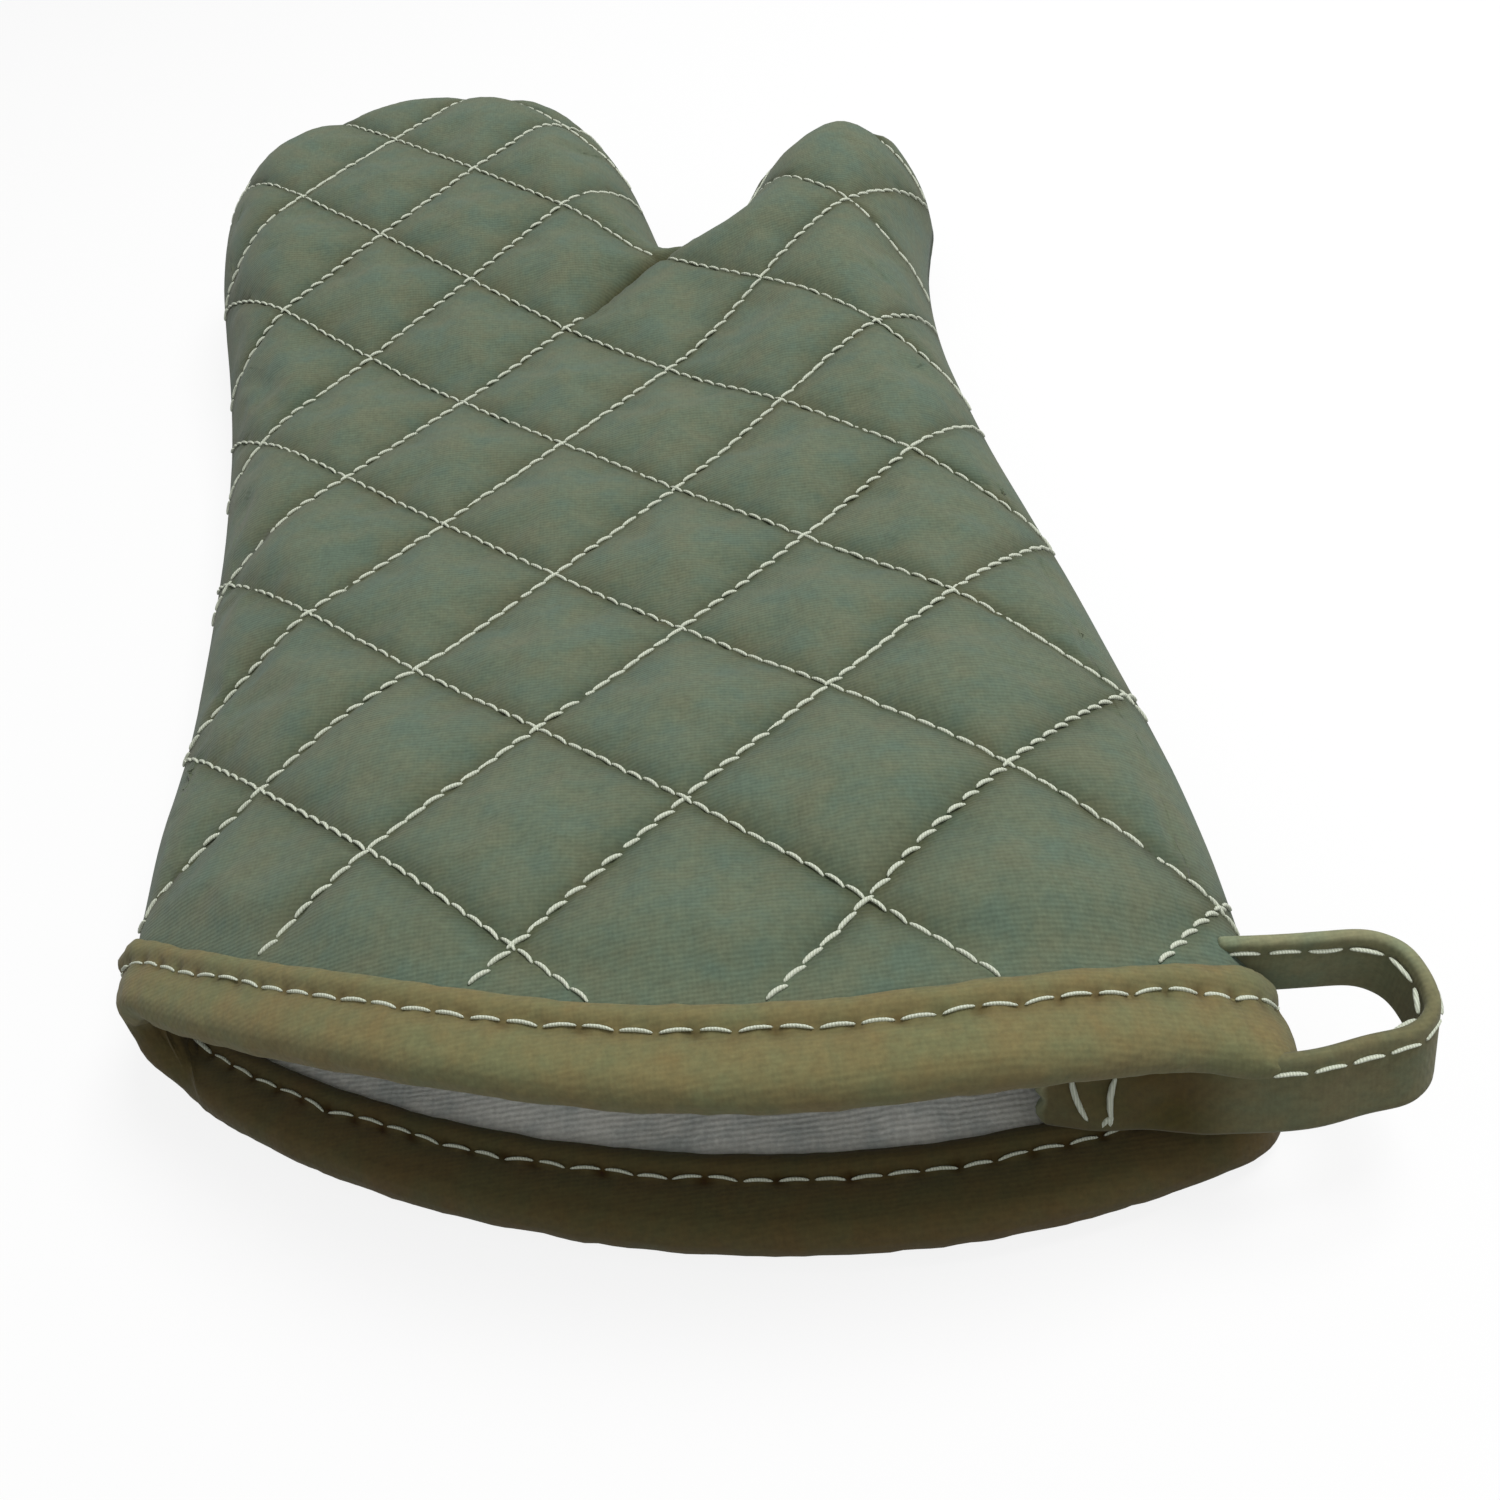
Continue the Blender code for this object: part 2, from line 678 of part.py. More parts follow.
def binding_section(station):
    """The tape's section: a flange outside, a roll over the raw edge and a flange inside."""
    middle = BINDING_WIDTH * 0.5
    outer, inner = (band_point(station, 0.0, side, BINDING_SKIN) for side in (False, True))
    far_outer, far_inner = (band_point(station, middle, side, BINDING_SKIN) for side in (False, True))
    centre, far_centre = outer.lerp(inner, 0.5), far_outer.lerp(far_inner, 0.5)
    beyond = (centre - far_centre).normalized() * (outer - centre).length
    section = [band_point(station, BINDING_WIDTH, False, BINDING_SKIN), far_outer]
    for i in range(ROLL_STEPS + 1):
        turn = math.pi * i / ROLL_STEPS
        section.append(centre + (outer - centre) * math.cos(turn) + beyond * math.sin(turn))
    section += [far_inner, band_point(station, BINDING_WIDTH, True, BINDING_SKIN)]
    for distance in (BINDING_WIDTH, middle, -BINDING_GAP):
        section.append(band_point(station, distance, True, BINDING_GAP))
    for distance in (-BINDING_GAP, middle, BINDING_WIDTH):
        section.append(band_point(station, distance, False, BINDING_GAP))
    return section


def cuff_binding(finish):
    """The tape folded round the mouth's raw edge, sewn into a ring."""
    mesh = bmesh.new()
    tube_along(mesh, [binding_section(station) for station in mouth_stations()], True)
    return add_object("cuff_binding", mesh, finish)


def binding_topstitch(name, on_lining, finish):
    """The stitch line near a flange's edge, outside or inside the mouth, as one ring."""
    mesh = bmesh.new()
    place = BINDING_WIDTH - TOPSTITCH_INSET
    near, far = place - THREAD_WIDTH * 0.5, place + THREAD_WIDTH * 0.5
    low = BINDING_SKIN + THREAD_GAP
    corners = ((near, low), (far, low), (far, low + THREAD_DEPTH), (near, low + THREAD_DEPTH))
    sections = []
    for station in mouth_stations():
        sections.append([band_point(station, at, on_lining, clear) for at, clear in corners])
    tube_along(mesh, sections, True)
    return add_object(name, mesh, finish)


def side_seam_thread(finish):
    """The closing seam's thread, along the rim between the two halves' waddings."""
    mesh = bmesh.new()
    middle = SHELL_THICKNESS + LAYER_GAP + WADDING_STITCHED * 0.5
    side = SEAM_THREAD * 0.5
    route = [on_cuff(SIDE[0], SIDE[1], BINDING_WIDTH, BACK.bow), *SIDE[1:-1]]
    route.append(on_cuff(SIDE[-1], SIDE[-2], BINDING_WIDTH, BACK.bow))
    sections = []
    for point in route:
        _, away = rim(point)
        section = []
        for depth, height in ((-side, -side), (side, -side), (side, side), (-side, side)):
            at = point + away * (middle + depth)
            seam = seam_over_palm(point.y) + lift(point.y)
            section.append(Vector((at.x, at.y, seam + height)))
        sections.append(section)
    tube_along(mesh, sections, False)
    return add_object("side_seam_thread", mesh, finish)


def side_x(y):
    """Where the thumb side's rim lies at a place along the mitt, below the thumb."""
    for start, end in zip(reversed(SIDE[:-1]), reversed(SIDE)):
        if end.y <= y <= start.y:
            return start.x + (end.x - start.x) * (y - start.y) / (end.y - start.y)
    return SIDE[-1].x


def strip(mesh, path, width, thickness, round_start=False, round_end=False, pressed_edge=1.0):
    """A flat tape standing on edge along a path, with ends that can be round.

    Its upper edge can be pressed to a share of its thickness, as far down as its stitching reaches.
    """
    reach = width * 0.5
    stations = [(point, reach) for point in path]
    for turn in map(math.radians, LOOP_END_TURNS):
        if round_start:
            on = (path[0] - path[1]).normalized() * reach
            stations.insert(0, (path[0] + on * math.sin(turn), reach * math.cos(turn)))
        if round_end:
            on = (path[-1] - path[-2]).normalized() * reach
            stations.append((path[-1] + on * math.sin(turn), reach * math.cos(turn)))
    sections = []
    last = len(stations) - 1
    for i, (point, half_width) in enumerate(stations):
        along = stations[min(i + 1, last)][0] - stations[max(i - 1, 0)][0]
        face = along.cross(UP).normalized() * thickness * 0.5
        edge = UP * half_width
        section = [point + face * pressed_edge + edge, point - face * pressed_edge + edge]
        if pressed_edge < 1.0:
            section.append(point - face + edge * PRESSED_FROM_SHARE)
        section += [point - face - edge, point + face - edge]
        if pressed_edge < 1.0:
            section.append(point + face + edge * PRESSED_FROM_SHARE)
        sections.append(section)
    tube_along(mesh, sections, False)


def stitch_beside(path, side, height):
    """A stitch line beside a tape's path, on its left face or its right, at a height on it."""
    line = []
    last = len(path) - 1
    offset = (LOOP_TAPE_THICKNESS * 0.5 + THREAD_GAP + THREAD_DEPTH * 0.5) * side
    for i, point in enumerate(path):
        along = path[min(i + 1, last)] - path[max(i - 1, 0)]
        line.append(point + along.cross(UP).normalized() * offset + UP * height)
    return line


def loop_root():
    """Where the free loop turns: the middle of its axis, by the cuff's corner."""
    y = plan_point(SIDE_SHARES[-1]).y + LOOP_FROM_CORNER
    return Vector((side_x(y) + LOOP_OUT, y, seam_over_palm(y) + LOOP_OVER_SEAM))


def loop_path(start):
    """The free loop's middle line from its axis, starting so far out: out, round and back."""
    half_spread = LOOP_SPREAD * 0.5
    bend = Vector((LOOP_REACH - LOOP_CORNER, half_spread - LOOP_CORNER, 0.0))
    path = [Vector((start, half_spread, 0.0))] if start < bend.x else []
    first_turn = math.asin(min(max(start - bend.x, 0.0) / LOOP_CORNER, 1.0))
    for i in range(LOOP_CORNER_STEPS + 1):
        turn = first_turn + (0.5 * math.pi - first_turn) * i / LOOP_CORNER_STEPS
        path.append(bend + Vector((math.sin(turn), math.cos(turn), 0.0)) * LOOP_CORNER)
    return path + [Vector((p.x, -p.y, 0.0)) for p in reversed(path)]


def hanging_loop(tape, thread):
    """The free part of the loop and its edge stitching, turning on an axis along Y at its root."""
    hinge = bpy.data.objects.new("loop_hinge", None)
    hinge.location = loop_root()
    bpy.context.scene.collection.objects.link(hinge)
    mesh = bmesh.new()
    strip(mesh, loop_path(0.0), LOOP_TAPE_WIDTH, LOOP_TAPE_THICKNESS, True, True, PRESSED_SHARE)
    add_object("hanging_loop", mesh, tape, hinge)
    height = LOOP_TAPE_WIDTH * 0.5 - LOOP_STITCH_INSET
    for name, side in (("loop_stitch_outside", -1.0), ("loop_stitch_inside", 1.0)):
        mesh = bmesh.new()
        path = stitch_beside(loop_path(LOOP_STITCH_START), side, height)
        strip(mesh, path, THREAD_WIDTH, THREAD_DEPTH)
        add_object(name, mesh, thread, hinge)


def loop_end_at_seam(tape):
    """The loop's far end: sewn to the side seam, and lapped beside the free loop at its axis."""
    root = loop_root()
    y = root.y + LOOP_SPREAD * 0.5 + LAP
    starts = Vector((side_x(y) + LAP_GAP, y, root.z))
    ends = Vector((root.x, y, root.z))
    mesh = bmesh.new()
    strip(mesh, [starts, ends], LOOP_TAPE_WIDTH, LOOP_TAPE_THICKNESS, False, True, PRESSED_SHARE)
    add_object("loop_end_at_seam", mesh, tape)


def near_end_path():
    """The loop's near end: from the axis past the cuff's corner, and into the mouth on the palm."""
    root = loop_root()
    y = root.y - LOOP_SPREAD * 0.5 - LAP
    points = [Vector((root.x, y, root.z)), Vector((root.x - NEAR_FRONT, y, root.z))]
    points.append(Vector((root.x - NEAR_TURN, y + NEAR_TURN_IN, root.z - NEAR_TURN_DROP)))
    inside_mouth = (
        (NEAR_MOUTH, NEAR_MOUTH_DEPTH),
        (NEAR_MIDDLE, NEAR_MIDDLE_DEPTH),
        (NEAR_END, NEAR_END_DEPTH),
    )
    for back, depth in inside_mouth:
        plan = Vector((root.x - back, cuff_y(root.x - back, PALM.bow) + depth))
        top = PALM.at(plan, PALM.thickness(plan) + BINDING_SKIN).z
        points.append(Vector((plan.x, plan.y, top + NEAR_CLEAR + LOOP_TAPE_WIDTH * 0.5)))
    return curve_through(points, NEAR_STEPS_PER_SPAN)


def loop_end_in_mouth(tape, thread):
    """The loop's near end, with the bar tacks that hold it to the binding inside the mouth."""
    path = near_end_path()
    mesh = bmesh.new()
    from_mouth = list(reversed(path))
    strip(mesh, from_mouth, LOOP_TAPE_WIDTH, LOOP_TAPE_THICKNESS, False, True, PRESSED_SHARE)
    add_object("loop_end_in_mouth", mesh, tape)
    for number, place in enumerate(TACK_PLACES, 1):
        x = loop_root().x - place
        near = min(path, key=lambda p: abs(p.x - x))
        i = path.index(near)
        along = (path[min(i + 1, len(path) - 1)] - path[i - 1]).normalized()
        off = LOOP_TAPE_THICKNESS * 0.5 + THREAD_GAP + THREAD_DEPTH * 0.5
        middle = near - along.cross(UP).normalized() * off
        ends = [middle - along * TACK_WIDTH * 0.5, middle + along * TACK_WIDTH * 0.5]
        mesh = bmesh.new()
        strip(mesh, ends, TACK_LENGTH, THREAD_DEPTH)
        add_object(f"loop_tack_{number}", mesh, thread)


def build():
    """Clear the scene and make the mitt."""
    for old in list(bpy.data.objects):
        bpy.data.objects.remove(old)
    canvas = material("shell_canvas", CANVAS_GREEN, 0.9)
    tape = material("binding_tape", TAPE_KHAKI, 0.85)
    thread = material("stitching_thread", THREAD_PALE, 0.7)
    lining = material("lining_cotton", LINING_WHITE, 0.95)
    wadding = material("wadding_felt", WADDING_WHITE, 1.0)
    for name, half in (("back", BACK), ("palm", PALM)):
        cloth_layer(f"{name}_shell", half, 0, canvas)
        cloth_layer(f"{name}_wadding", half, 1, wadding)
        cloth_layer(f"{name}_lining", half, 2, lining)
        quilting_thread(f"{name}_quilting_thread", half, thread)
    side_seam_thread(thread)
    cuff_binding(tape)
    binding_topstitch("binding_topstitch_outside", False, thread)
    binding_topstitch("binding_topstitch_inside", True, thread)
    hanging_loop(tape, thread)
    loop_end_at_seam(tape)
    loop_end_in_mouth(tape, thread)


if __name__ == "__main__":
    build()
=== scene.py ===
"""A quilted oven mitt, dressed: puffed cloth, stitching, bound cuff and hanging loop.

The frame holds the mitt's solids in metres, with +Y from the cuff to the fingertips, +X to the
thumb side and +Z up. Each half's outer skin is read from the frame in plan and raised again,
finer and fuller, and every line of sewing is laid on it as separate stitches.
"""

import logging
import math
import random
from collections.abc import Iterable
from dataclasses import dataclass, field, replace
from enum import Enum

import bmesh
import bpy
import numpy as np
from bmesh.types import BMEdge, BMesh, BMFace, BMVert
from bpy.types import Material, Node, NodeSocket, NodeTree, Object
from mathutils import Matrix, Vector, noise
from mathutils.bvhtree import BVHTree
from mathutils.kdtree import KDTree


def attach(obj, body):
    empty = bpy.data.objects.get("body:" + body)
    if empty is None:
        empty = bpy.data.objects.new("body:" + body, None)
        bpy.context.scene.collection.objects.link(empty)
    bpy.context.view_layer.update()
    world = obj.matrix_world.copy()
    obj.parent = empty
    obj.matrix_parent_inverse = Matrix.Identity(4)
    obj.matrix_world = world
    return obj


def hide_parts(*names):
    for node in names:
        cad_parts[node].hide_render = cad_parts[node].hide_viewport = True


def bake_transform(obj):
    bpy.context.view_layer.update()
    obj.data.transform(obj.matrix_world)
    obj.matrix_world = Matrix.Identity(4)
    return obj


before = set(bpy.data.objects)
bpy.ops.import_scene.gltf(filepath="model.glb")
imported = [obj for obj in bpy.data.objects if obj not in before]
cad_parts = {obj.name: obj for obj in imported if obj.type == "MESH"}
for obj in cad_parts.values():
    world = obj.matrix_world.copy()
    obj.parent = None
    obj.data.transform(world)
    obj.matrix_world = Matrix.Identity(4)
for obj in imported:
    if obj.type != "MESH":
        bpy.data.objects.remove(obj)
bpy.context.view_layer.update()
LOG = logging.getLogger("mitt")
UP = Vector((0.0, 0.0, 1.0))
MM = 0.001
WELD = 0.00001
Place = tuple[float, float, float]
Spot = np.ndarray | Vector
Stations = list[tuple[Vector, Vector]]


class Side(Enum):
    """Which half of the mitt a piece belongs to: the value is its way up."""

    BACK = 1.0
    PALM = -1.0


class Lay(Enum):
    """How stitches lie: rope-like and slanted, thin and nearly unbroken, spaced, or a bar tack."""

    ROPED = "roped"
    THIN = "thin"
    TOPSTITCH = "topstitch"
    TACK = "tack"


def smooth(share: np.ndarray | float) -> np.ndarray | float:
    """A smooth step from 0 to 1, where the share says how far along a value is."""
    share = np.clip(share, 0.0, 1.0)
    return share * share * (3.0 - 2.0 * share)


def hump(gap: np.ndarray | float, reach: float) -> np.ndarray | float:
    """A soft hump: 1 where the gap is nothing, and fading to 0 past the reach."""
    return np.exp(-((gap / reach) ** 2))


def spline(before: Spot, start: Spot, end: Spot, after: Spot, t: np.ndarray | float) -> Spot:
    """A place on the smooth curve through four others, between the middle two.

    Args:
        before: The first of the four.
        start: Where the span starts.
        end: Where it ends.
        after: The last of the four.
        t: Share of the way along the span.

    Returns:
        The place.
    """
    bend = 2.0 * before - 5.0 * start + 4.0 * end - after
    twist = 3.0 * start - 3.0 * end + after - before
    return start + 0.5 * ((end - before) * t + bend * t**2 + twist * t**3)


def beside(
    plan: np.ndarray, a: np.ndarray, b: np.ndarray, low: float = 0.0, high: float = 1.0
) -> tuple[np.ndarray, np.ndarray]:
    """Where plan points lie beside a straight stretch.

    Args:
        plan: Points in plan, one a row.
        a: Where the stretch starts.
        b: Where it ends.
        low: Least share of the way along it.
        high: Greatest share of the way along it.

    Returns:
        Distance from the stretch and the share along it.
    """
    along = b - a
    t = np.clip((plan - a) @ along / (along @ along), low, high)
    return np.linalg.norm(plan - a - t[:, None] * along, axis=1), t


def curve_through(points: list[Vector], steps: int, closed: bool = False) -> list[Vector]:
    """Points of a smooth curve through the given ones.

    Args:
        points: The points to pass through.
        steps: Steps in each span.
        closed: Whether the curve is a ring.

    Returns:
        The finer points.
    """
    row = [points[-1], *points, *points[:2]] if closed else [points[0], *points, points[-1]]
    spans = zip(row, row[1:], row[2:], row[3:])
    found = [spline(*span, step / steps) for span in spans for step in range(steps)]
    return found if closed else [*found, points[-1]]


def search_tree(points: Iterable[Vector | Place]) -> KDTree:
    """A balanced search tree over places."""
    places = list(points)
    tree = KDTree(len(places))
    for i, place in enumerate(places):
        tree.insert(place, i)
    tree.balance()
    return tree


def linear(code: str) -> tuple[float, float, float, float]:
    """Turn an sRGB hex colour into the linear colour that a shader reads.

    Args:
        code: Six hex digits.

    Returns:
        Red, green, blue and an alpha of 1.
    """
    parts = [int(code[i : i + 2], 16) / 255.0 for i in (0, 2, 4)]
    return (*[p / 12.92 if p <= 0.04045 else ((p + 0.055) / 1.055) ** 2.4 for p in parts], 1.0)


def add_node(
    tree: NodeTree, kind: str, inputs: dict | None = None, out: str | int = 0, **settings: object
) -> NodeSocket:
    """Add a node to a tree.

    Args:
        tree: The node tree.
        kind: The node's type name.
        inputs: A value or another node's output for each input, by name or number.
        out: The wanted output, by name or number.
        **settings: The node's own settings.

    Returns:
        The new node's wanted output.
    """
    node = tree.nodes.new(kind)
    for key, value in settings.items():
        setattr(node, key, value)
    for name, value in (inputs or {}).items():
        if isinstance(value, NodeSocket):
            tree.links.new(value, node.inputs[name])
        else:
            node.inputs[name].default_value = value
    return node.outputs[out]


def wave_scale(pitch: float) -> float:
    """The Wave texture's scale at which its bands are this far apart, in metres."""
    bands_per_unit = 20.0
    return math.tau / bands_per_unit / pitch


def new_material(name: str, roughness: float, sheen: float) -> tuple[Material, Node]:
    """Start a cloth or thread material.

    Args:
        name: The real material's name.
        roughness: The shader's roughness.
        sheen: Weight of the fuzz that catches light at a glance.

    Returns:
        The material and its shader node.
    """
    finish = bpy.data.materials.new(name)
    finish.use_nodes = True
    shader = finish.node_tree.nodes["Principled BSDF"]
    shader.inputs["Roughness"].default_value = roughness
    shader.inputs["Sheen Weight"].default_value = sheen
    shader.inputs["Sheen Roughness"].default_value = 0.6
    shader.inputs["Specular IOR Level"].default_value = 0.25
    return finish, shader


@dataclass(frozen=True)
class WovenFinish:
    """A plain-woven cloth: threads both ways, soft mottling and painted shade in its sewn valleys."""

    name: str
    ground: str
    warm: str
    cool: str
    pitch: float
    mottle_size: float
    nap_size: float
    weave_depth: float
    # The tint that painted shade multiplies the cloth by, along sewing, in needle holes and in folds
    painted_shade_tint: str
    thread_contrast: float = 0.09
    roughness: float = 0.9
    sheen: float = 0.12
    nap_contrast: float = 0.14
    weft_share: float = 0.45

    def make(self) -> Material:
        """Build the material.

        Returns:
            The material, which reads Object coordinates and the attribute of painted shade.
        """
        finish, shader = new_material(self.name, self.roughness, self.sheen)
        tree = finish.node_tree
        place = add_node(tree, "ShaderNodeTexCoord", out="Object")
        grains = ((self.mottle_size, 4.0, 0.6), (self.nap_size, 3.0, 0.7))
        mottle, nap = (
            add_node(
                tree,
                "ShaderNodeTexNoise",
                {"Vector": place, "Scale": 1.0 / size, "Detail": detail, "Roughness": roughness},
                "Fac",
            )
            for size, detail, roughness in grains
        )
        bands = {"Vector": place, "Scale": wave_scale(self.pitch), "Distortion": 2.4, "Detail": 3.0}
        weft, warp = (add_node(tree, "ShaderNodeTexWave", bands, "Fac", bands_direction=way) for way in "XY")
        crossed = {0: weft, 1: self.weft_share, 2: warp}
        weave = add_node(tree, "ShaderNodeMath", crossed, operation="MULTIPLY_ADD")
        tint = add_node(tree, "ShaderNodeValToRGB", {"Fac": mottle})
        ramp = tint.node.color_ramp.elements
        for stop, position, code in ((ramp[0], 0.34, self.cool), (ramp[1], 0.66, self.warm)):
            stop.position = position
            stop.color = linear(code)
        ramp.new(0.5).color = linear(self.ground)
        swings = (
            (weave, 0.0, 1.0 + self.weft_share, self.thread_contrast),
            (nap, 0.3, 0.7, self.nap_contrast),
        )
        threads, fuzz = (
            add_node(
                tree,
                "ShaderNodeMapRange",
                {"Value": fac, "From Min": low, "From Max": high, "To Min": 1.0 - by, "To Max": 1.0 + by},
            )
            for fac, low, high, by in swings
        )
        shade = add_node(tree, "ShaderNodeMath", {0: threads, 1: fuzz}, operation="MULTIPLY")
        coloured = add_node(tree, "ShaderNodeVectorMath", {0: tint, "Scale": shade}, operation="SCALE")
        # Painted shade: the attribute multiplies the colour by the shade tint, and past 1, as in a needle
        # hole or a pinched fold, the painted shade goes on darkening
        sewn = add_node(tree, "ShaderNodeAttribute", out="Fac", attribute_name="sewn")
        painted_shade_colour = add_node(
            tree,
            "ShaderNodeMix",
            {0: sewn, 6: coloured, 7: linear(self.painted_shade_tint)},
            2,
            data_type="RGBA",
            blend_type="MULTIPLY",
            clamp_factor=False,
            clamp_result=True,
        )
        height = add_node(tree, "ShaderNodeMath", {0: weave, 1: nap}, operation="ADD")
        relief = {"Height": height, "Strength": 0.6, "Distance": self.weave_depth}
        tree.links.new(painted_shade_colour, shader.inputs["Base Color"])
        tree.links.new(add_node(tree, "ShaderNodeBump", relief), shader.inputs["Normal"])
        return finish


@dataclass(frozen=True)
class ThreadFinish:
    """Spun polyester sewing thread: pale, with the twist of its plies and a faint gloss."""

    name: str
    light: str
    shade: str
    ply_pitch: float = 0.45 * MM
    ply_depth: float = 0.1 * MM
    roughness: float = 0.62
    sheen: float = 0.1

    def make(self) -> Material:
        """Build the material.

        Returns:
            The material, whose plies run across Object coordinates.
        """
        finish, shader = new_material(self.name, self.roughness, self.sheen)
        tree = finish.node_tree
        place = add_node(tree, "ShaderNodeTexCoord", out="Object")
        bands = {"Vector": place, "Scale": wave_scale(self.ply_pitch), "Distortion": 2.0, "Detail": 1.0}
        plies = add_node(tree, "ShaderNodeTexWave", bands, "Fac", bands_direction="X")
        shades = {0: plies, 6: linear(self.shade), 7: linear(self.light)}
        tint = add_node(tree, "ShaderNodeMix", shades, 2, data_type="RGBA")
        relief = {"Height": plies, "Strength": 0.5, "Distance": self.ply_depth}
        tree.links.new(tint, shader.inputs["Base Color"])
        tree.links.new(add_node(tree, "ShaderNodeBump", relief), shader.inputs["Normal"])
        return finish


# Cotton canvas, dyed grey-green and washed: matt, with a faint bloom. Its real thread spacing of
# 0.5 mm is too fine for the render, so the weave is drawn at 0.8 mm
# The canvas's last colour is the brownish tint of its painted shade along the quilting and in the crease
CANVAS = WovenFinish(
    "cotton_canvas", "606c57", "656c55", "5a6b5a", 0.8 * MM, 9 * MM, 1.3 * MM, 0.08 * MM, "d6d2c6", 0.07
)
# Brushed cotton: white, with a raised nap that softens every edge of shade
LINING = WovenFinish(
    "brushed_cotton", "ecede7", "efefe8", "d3d8d4", 1.1 * MM, 9 * MM, 1.1 * MM, 0.12 * MM, "f4f4f4",
    thread_contrast=0.06, roughness=1.0, sheen=0.25,
)
# Needled polyester wadding: white and loose
WADDING = WovenFinish(
    "needled_wadding", "e6e2da", "ece8e0", "dedcd6", 2.2 * MM, 14 * MM, 1.8 * MM, 0.3 * MM, "ffffff",
    thread_contrast=0.1, roughness=1.0, sheen=0.2,
)
# Woven cotton tape, khaki: denser than the canvas, with a brown tint for its painted shade where it is sewn
# flat and on its low palm side
TAPE = WovenFinish(
    "woven_cotton_tape", "756f49", "786c45", "6f704c", 0.8 * MM, 8 * MM, 1.2 * MM, 0.04 * MM, "b5a68c",
    thread_contrast=0.04, roughness=0.88, sheen=0.1,
)
# The same tape less handled, as the loop shows it: lighter and greener
LOOP_TAPE = replace(TAPE, name="woven_cotton_tape_clean", ground="888a69", warm="8b8867", cool="808a6d")
# Spun polyester thread: pale greenish white, the lightest thing on the mitt
THREAD = ThreadFinish("spun_polyester_thread", "dce1d0", "bcc3ae")


@dataclass(frozen=True)
class MittSizes:
    """The mitt's driving sizes in metres, the same as the frame's."""

    cuff_left: tuple[float, float] = (-0.07475, -0.140188)
    cuff_right: tuple[float, float] = (0.11201, -0.178972)
    back_bow: tuple[float, float] = (0.023, 1.0)
    palm_bow: tuple[float, float] = (0.027, 0.78)
    seam_height: float = 0.0105
    cuff_seam_rise: float = 0.008
    cuff_seam_start: float = -0.060
    cuff_seam_reach: float = 0.100
    tip_lift: float = 0.016
    tip_lift_start: float = 0.035
    tip_lift_reach: float = 0.155
    waist_rise: float = 0.019
    cuff_rise: float = 0.0245
    cuff_rise_reach: float = 0.150
    finger_rise: float = 0.025
    finger_rise_start: float = 0.020
    finger_rise_reach: float = 0.100
    thumb_rise: float = 0.007
    thumb_rise_start: float = 0.030
    thumb_rise_reach: float = 0.040
    thumb_middle_y: float = 0.060
    thumb_spread: float = 0.110
    crown_reach: float = 0.027
    cuff_left_reach: float = 0.072
    cuff_right_reach: float = 0.046
    edge_round: float = 0.008
    quilt_spacing: float = 0.0381
    back_diamond: tuple[float, float] = (0.0010, -0.0235)
    palm_diamond: tuple[float, float] = (0.0030, 0.0060)
    palm_flank: float = 0.006
    back_puff: float = 0.0028
    palm_puff: float = 0.0014
    edge_puff_share: float = 0.1
    puff_power: float = 0.5
    puff_fade: float = 0.014
    edge_puff_fade: float = 0.0056
    binding_width: float = 0.0100
    cuff_lift: float = 0.00305


SIZES = MittSizes()


def merged_copy(node: str) -> BMesh:
    """Copy a frame node's mesh and join its loose triangles.

    Args:
        node: The node's name.

    Returns:
        A new bmesh, closed as the solid is.
    """
    mesh = bmesh.new()
    mesh.from_mesh(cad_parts[node].data)
    bmesh.ops.remove_doubles(mesh, verts=mesh.verts, dist=WELD)
    mesh.normal_update()
    return mesh


def islands(mesh: BMesh) -> list[list[BMFace]]:
    """The mesh's unjoined patches of faces.

    Args:
        mesh: The mesh.

    Returns:
        A list of faces for each patch.
    """
    left = set(mesh.faces)
    found = []
    while left:
        patch = [left.pop()]
        for face in patch:
            joined = {f for edge in face.edges for f in edge.link_faces} & left
            left -= joined
            patch += joined
        found.append(patch)
    return found


def outer_skin(side: Side, cuts: int) -> BMesh:
    """The outer face of a half's shell, without its raw edges and its inner face.

    Args:
        side: Which half.
        cuts: How often each of its edges is cut, to make it finer.

    Returns:
        A bmesh of the outer face alone.
    """
    edge_angle, least_tilt = math.radians(50.0), 0.02
    mesh = merged_copy(f"{side.name.lower()}_shell")
    sharp = [e for e in mesh.edges if len(e.link_faces) == 2 and e.calc_face_angle() > edge_angle]
    bmesh.ops.split_edges(mesh, edges=sharp)
    inner = []
    for patch in islands(mesh):
        facing = sum(f.normal.z * f.calc_area() for f in patch) * side.value
        if facing < least_tilt * sum(f.calc_area() for f in patch):
            inner += patch
    bmesh.ops.delete(mesh, geom=inner, context="FACES")
    bmesh.ops.remove_doubles(mesh, verts=mesh.verts, dist=WELD)
    if cuts:
        bmesh.ops.subdivide_edges(mesh, edges=mesh.edges[:], cuts=cuts, use_grid_fill=True)
    return mesh


def plan_of(verts: Iterable[BMVert]) -> np.ndarray:
    """The plan places of vertices, one a row."""
    return np.array([(v.co.x, v.co.y) for v in verts])


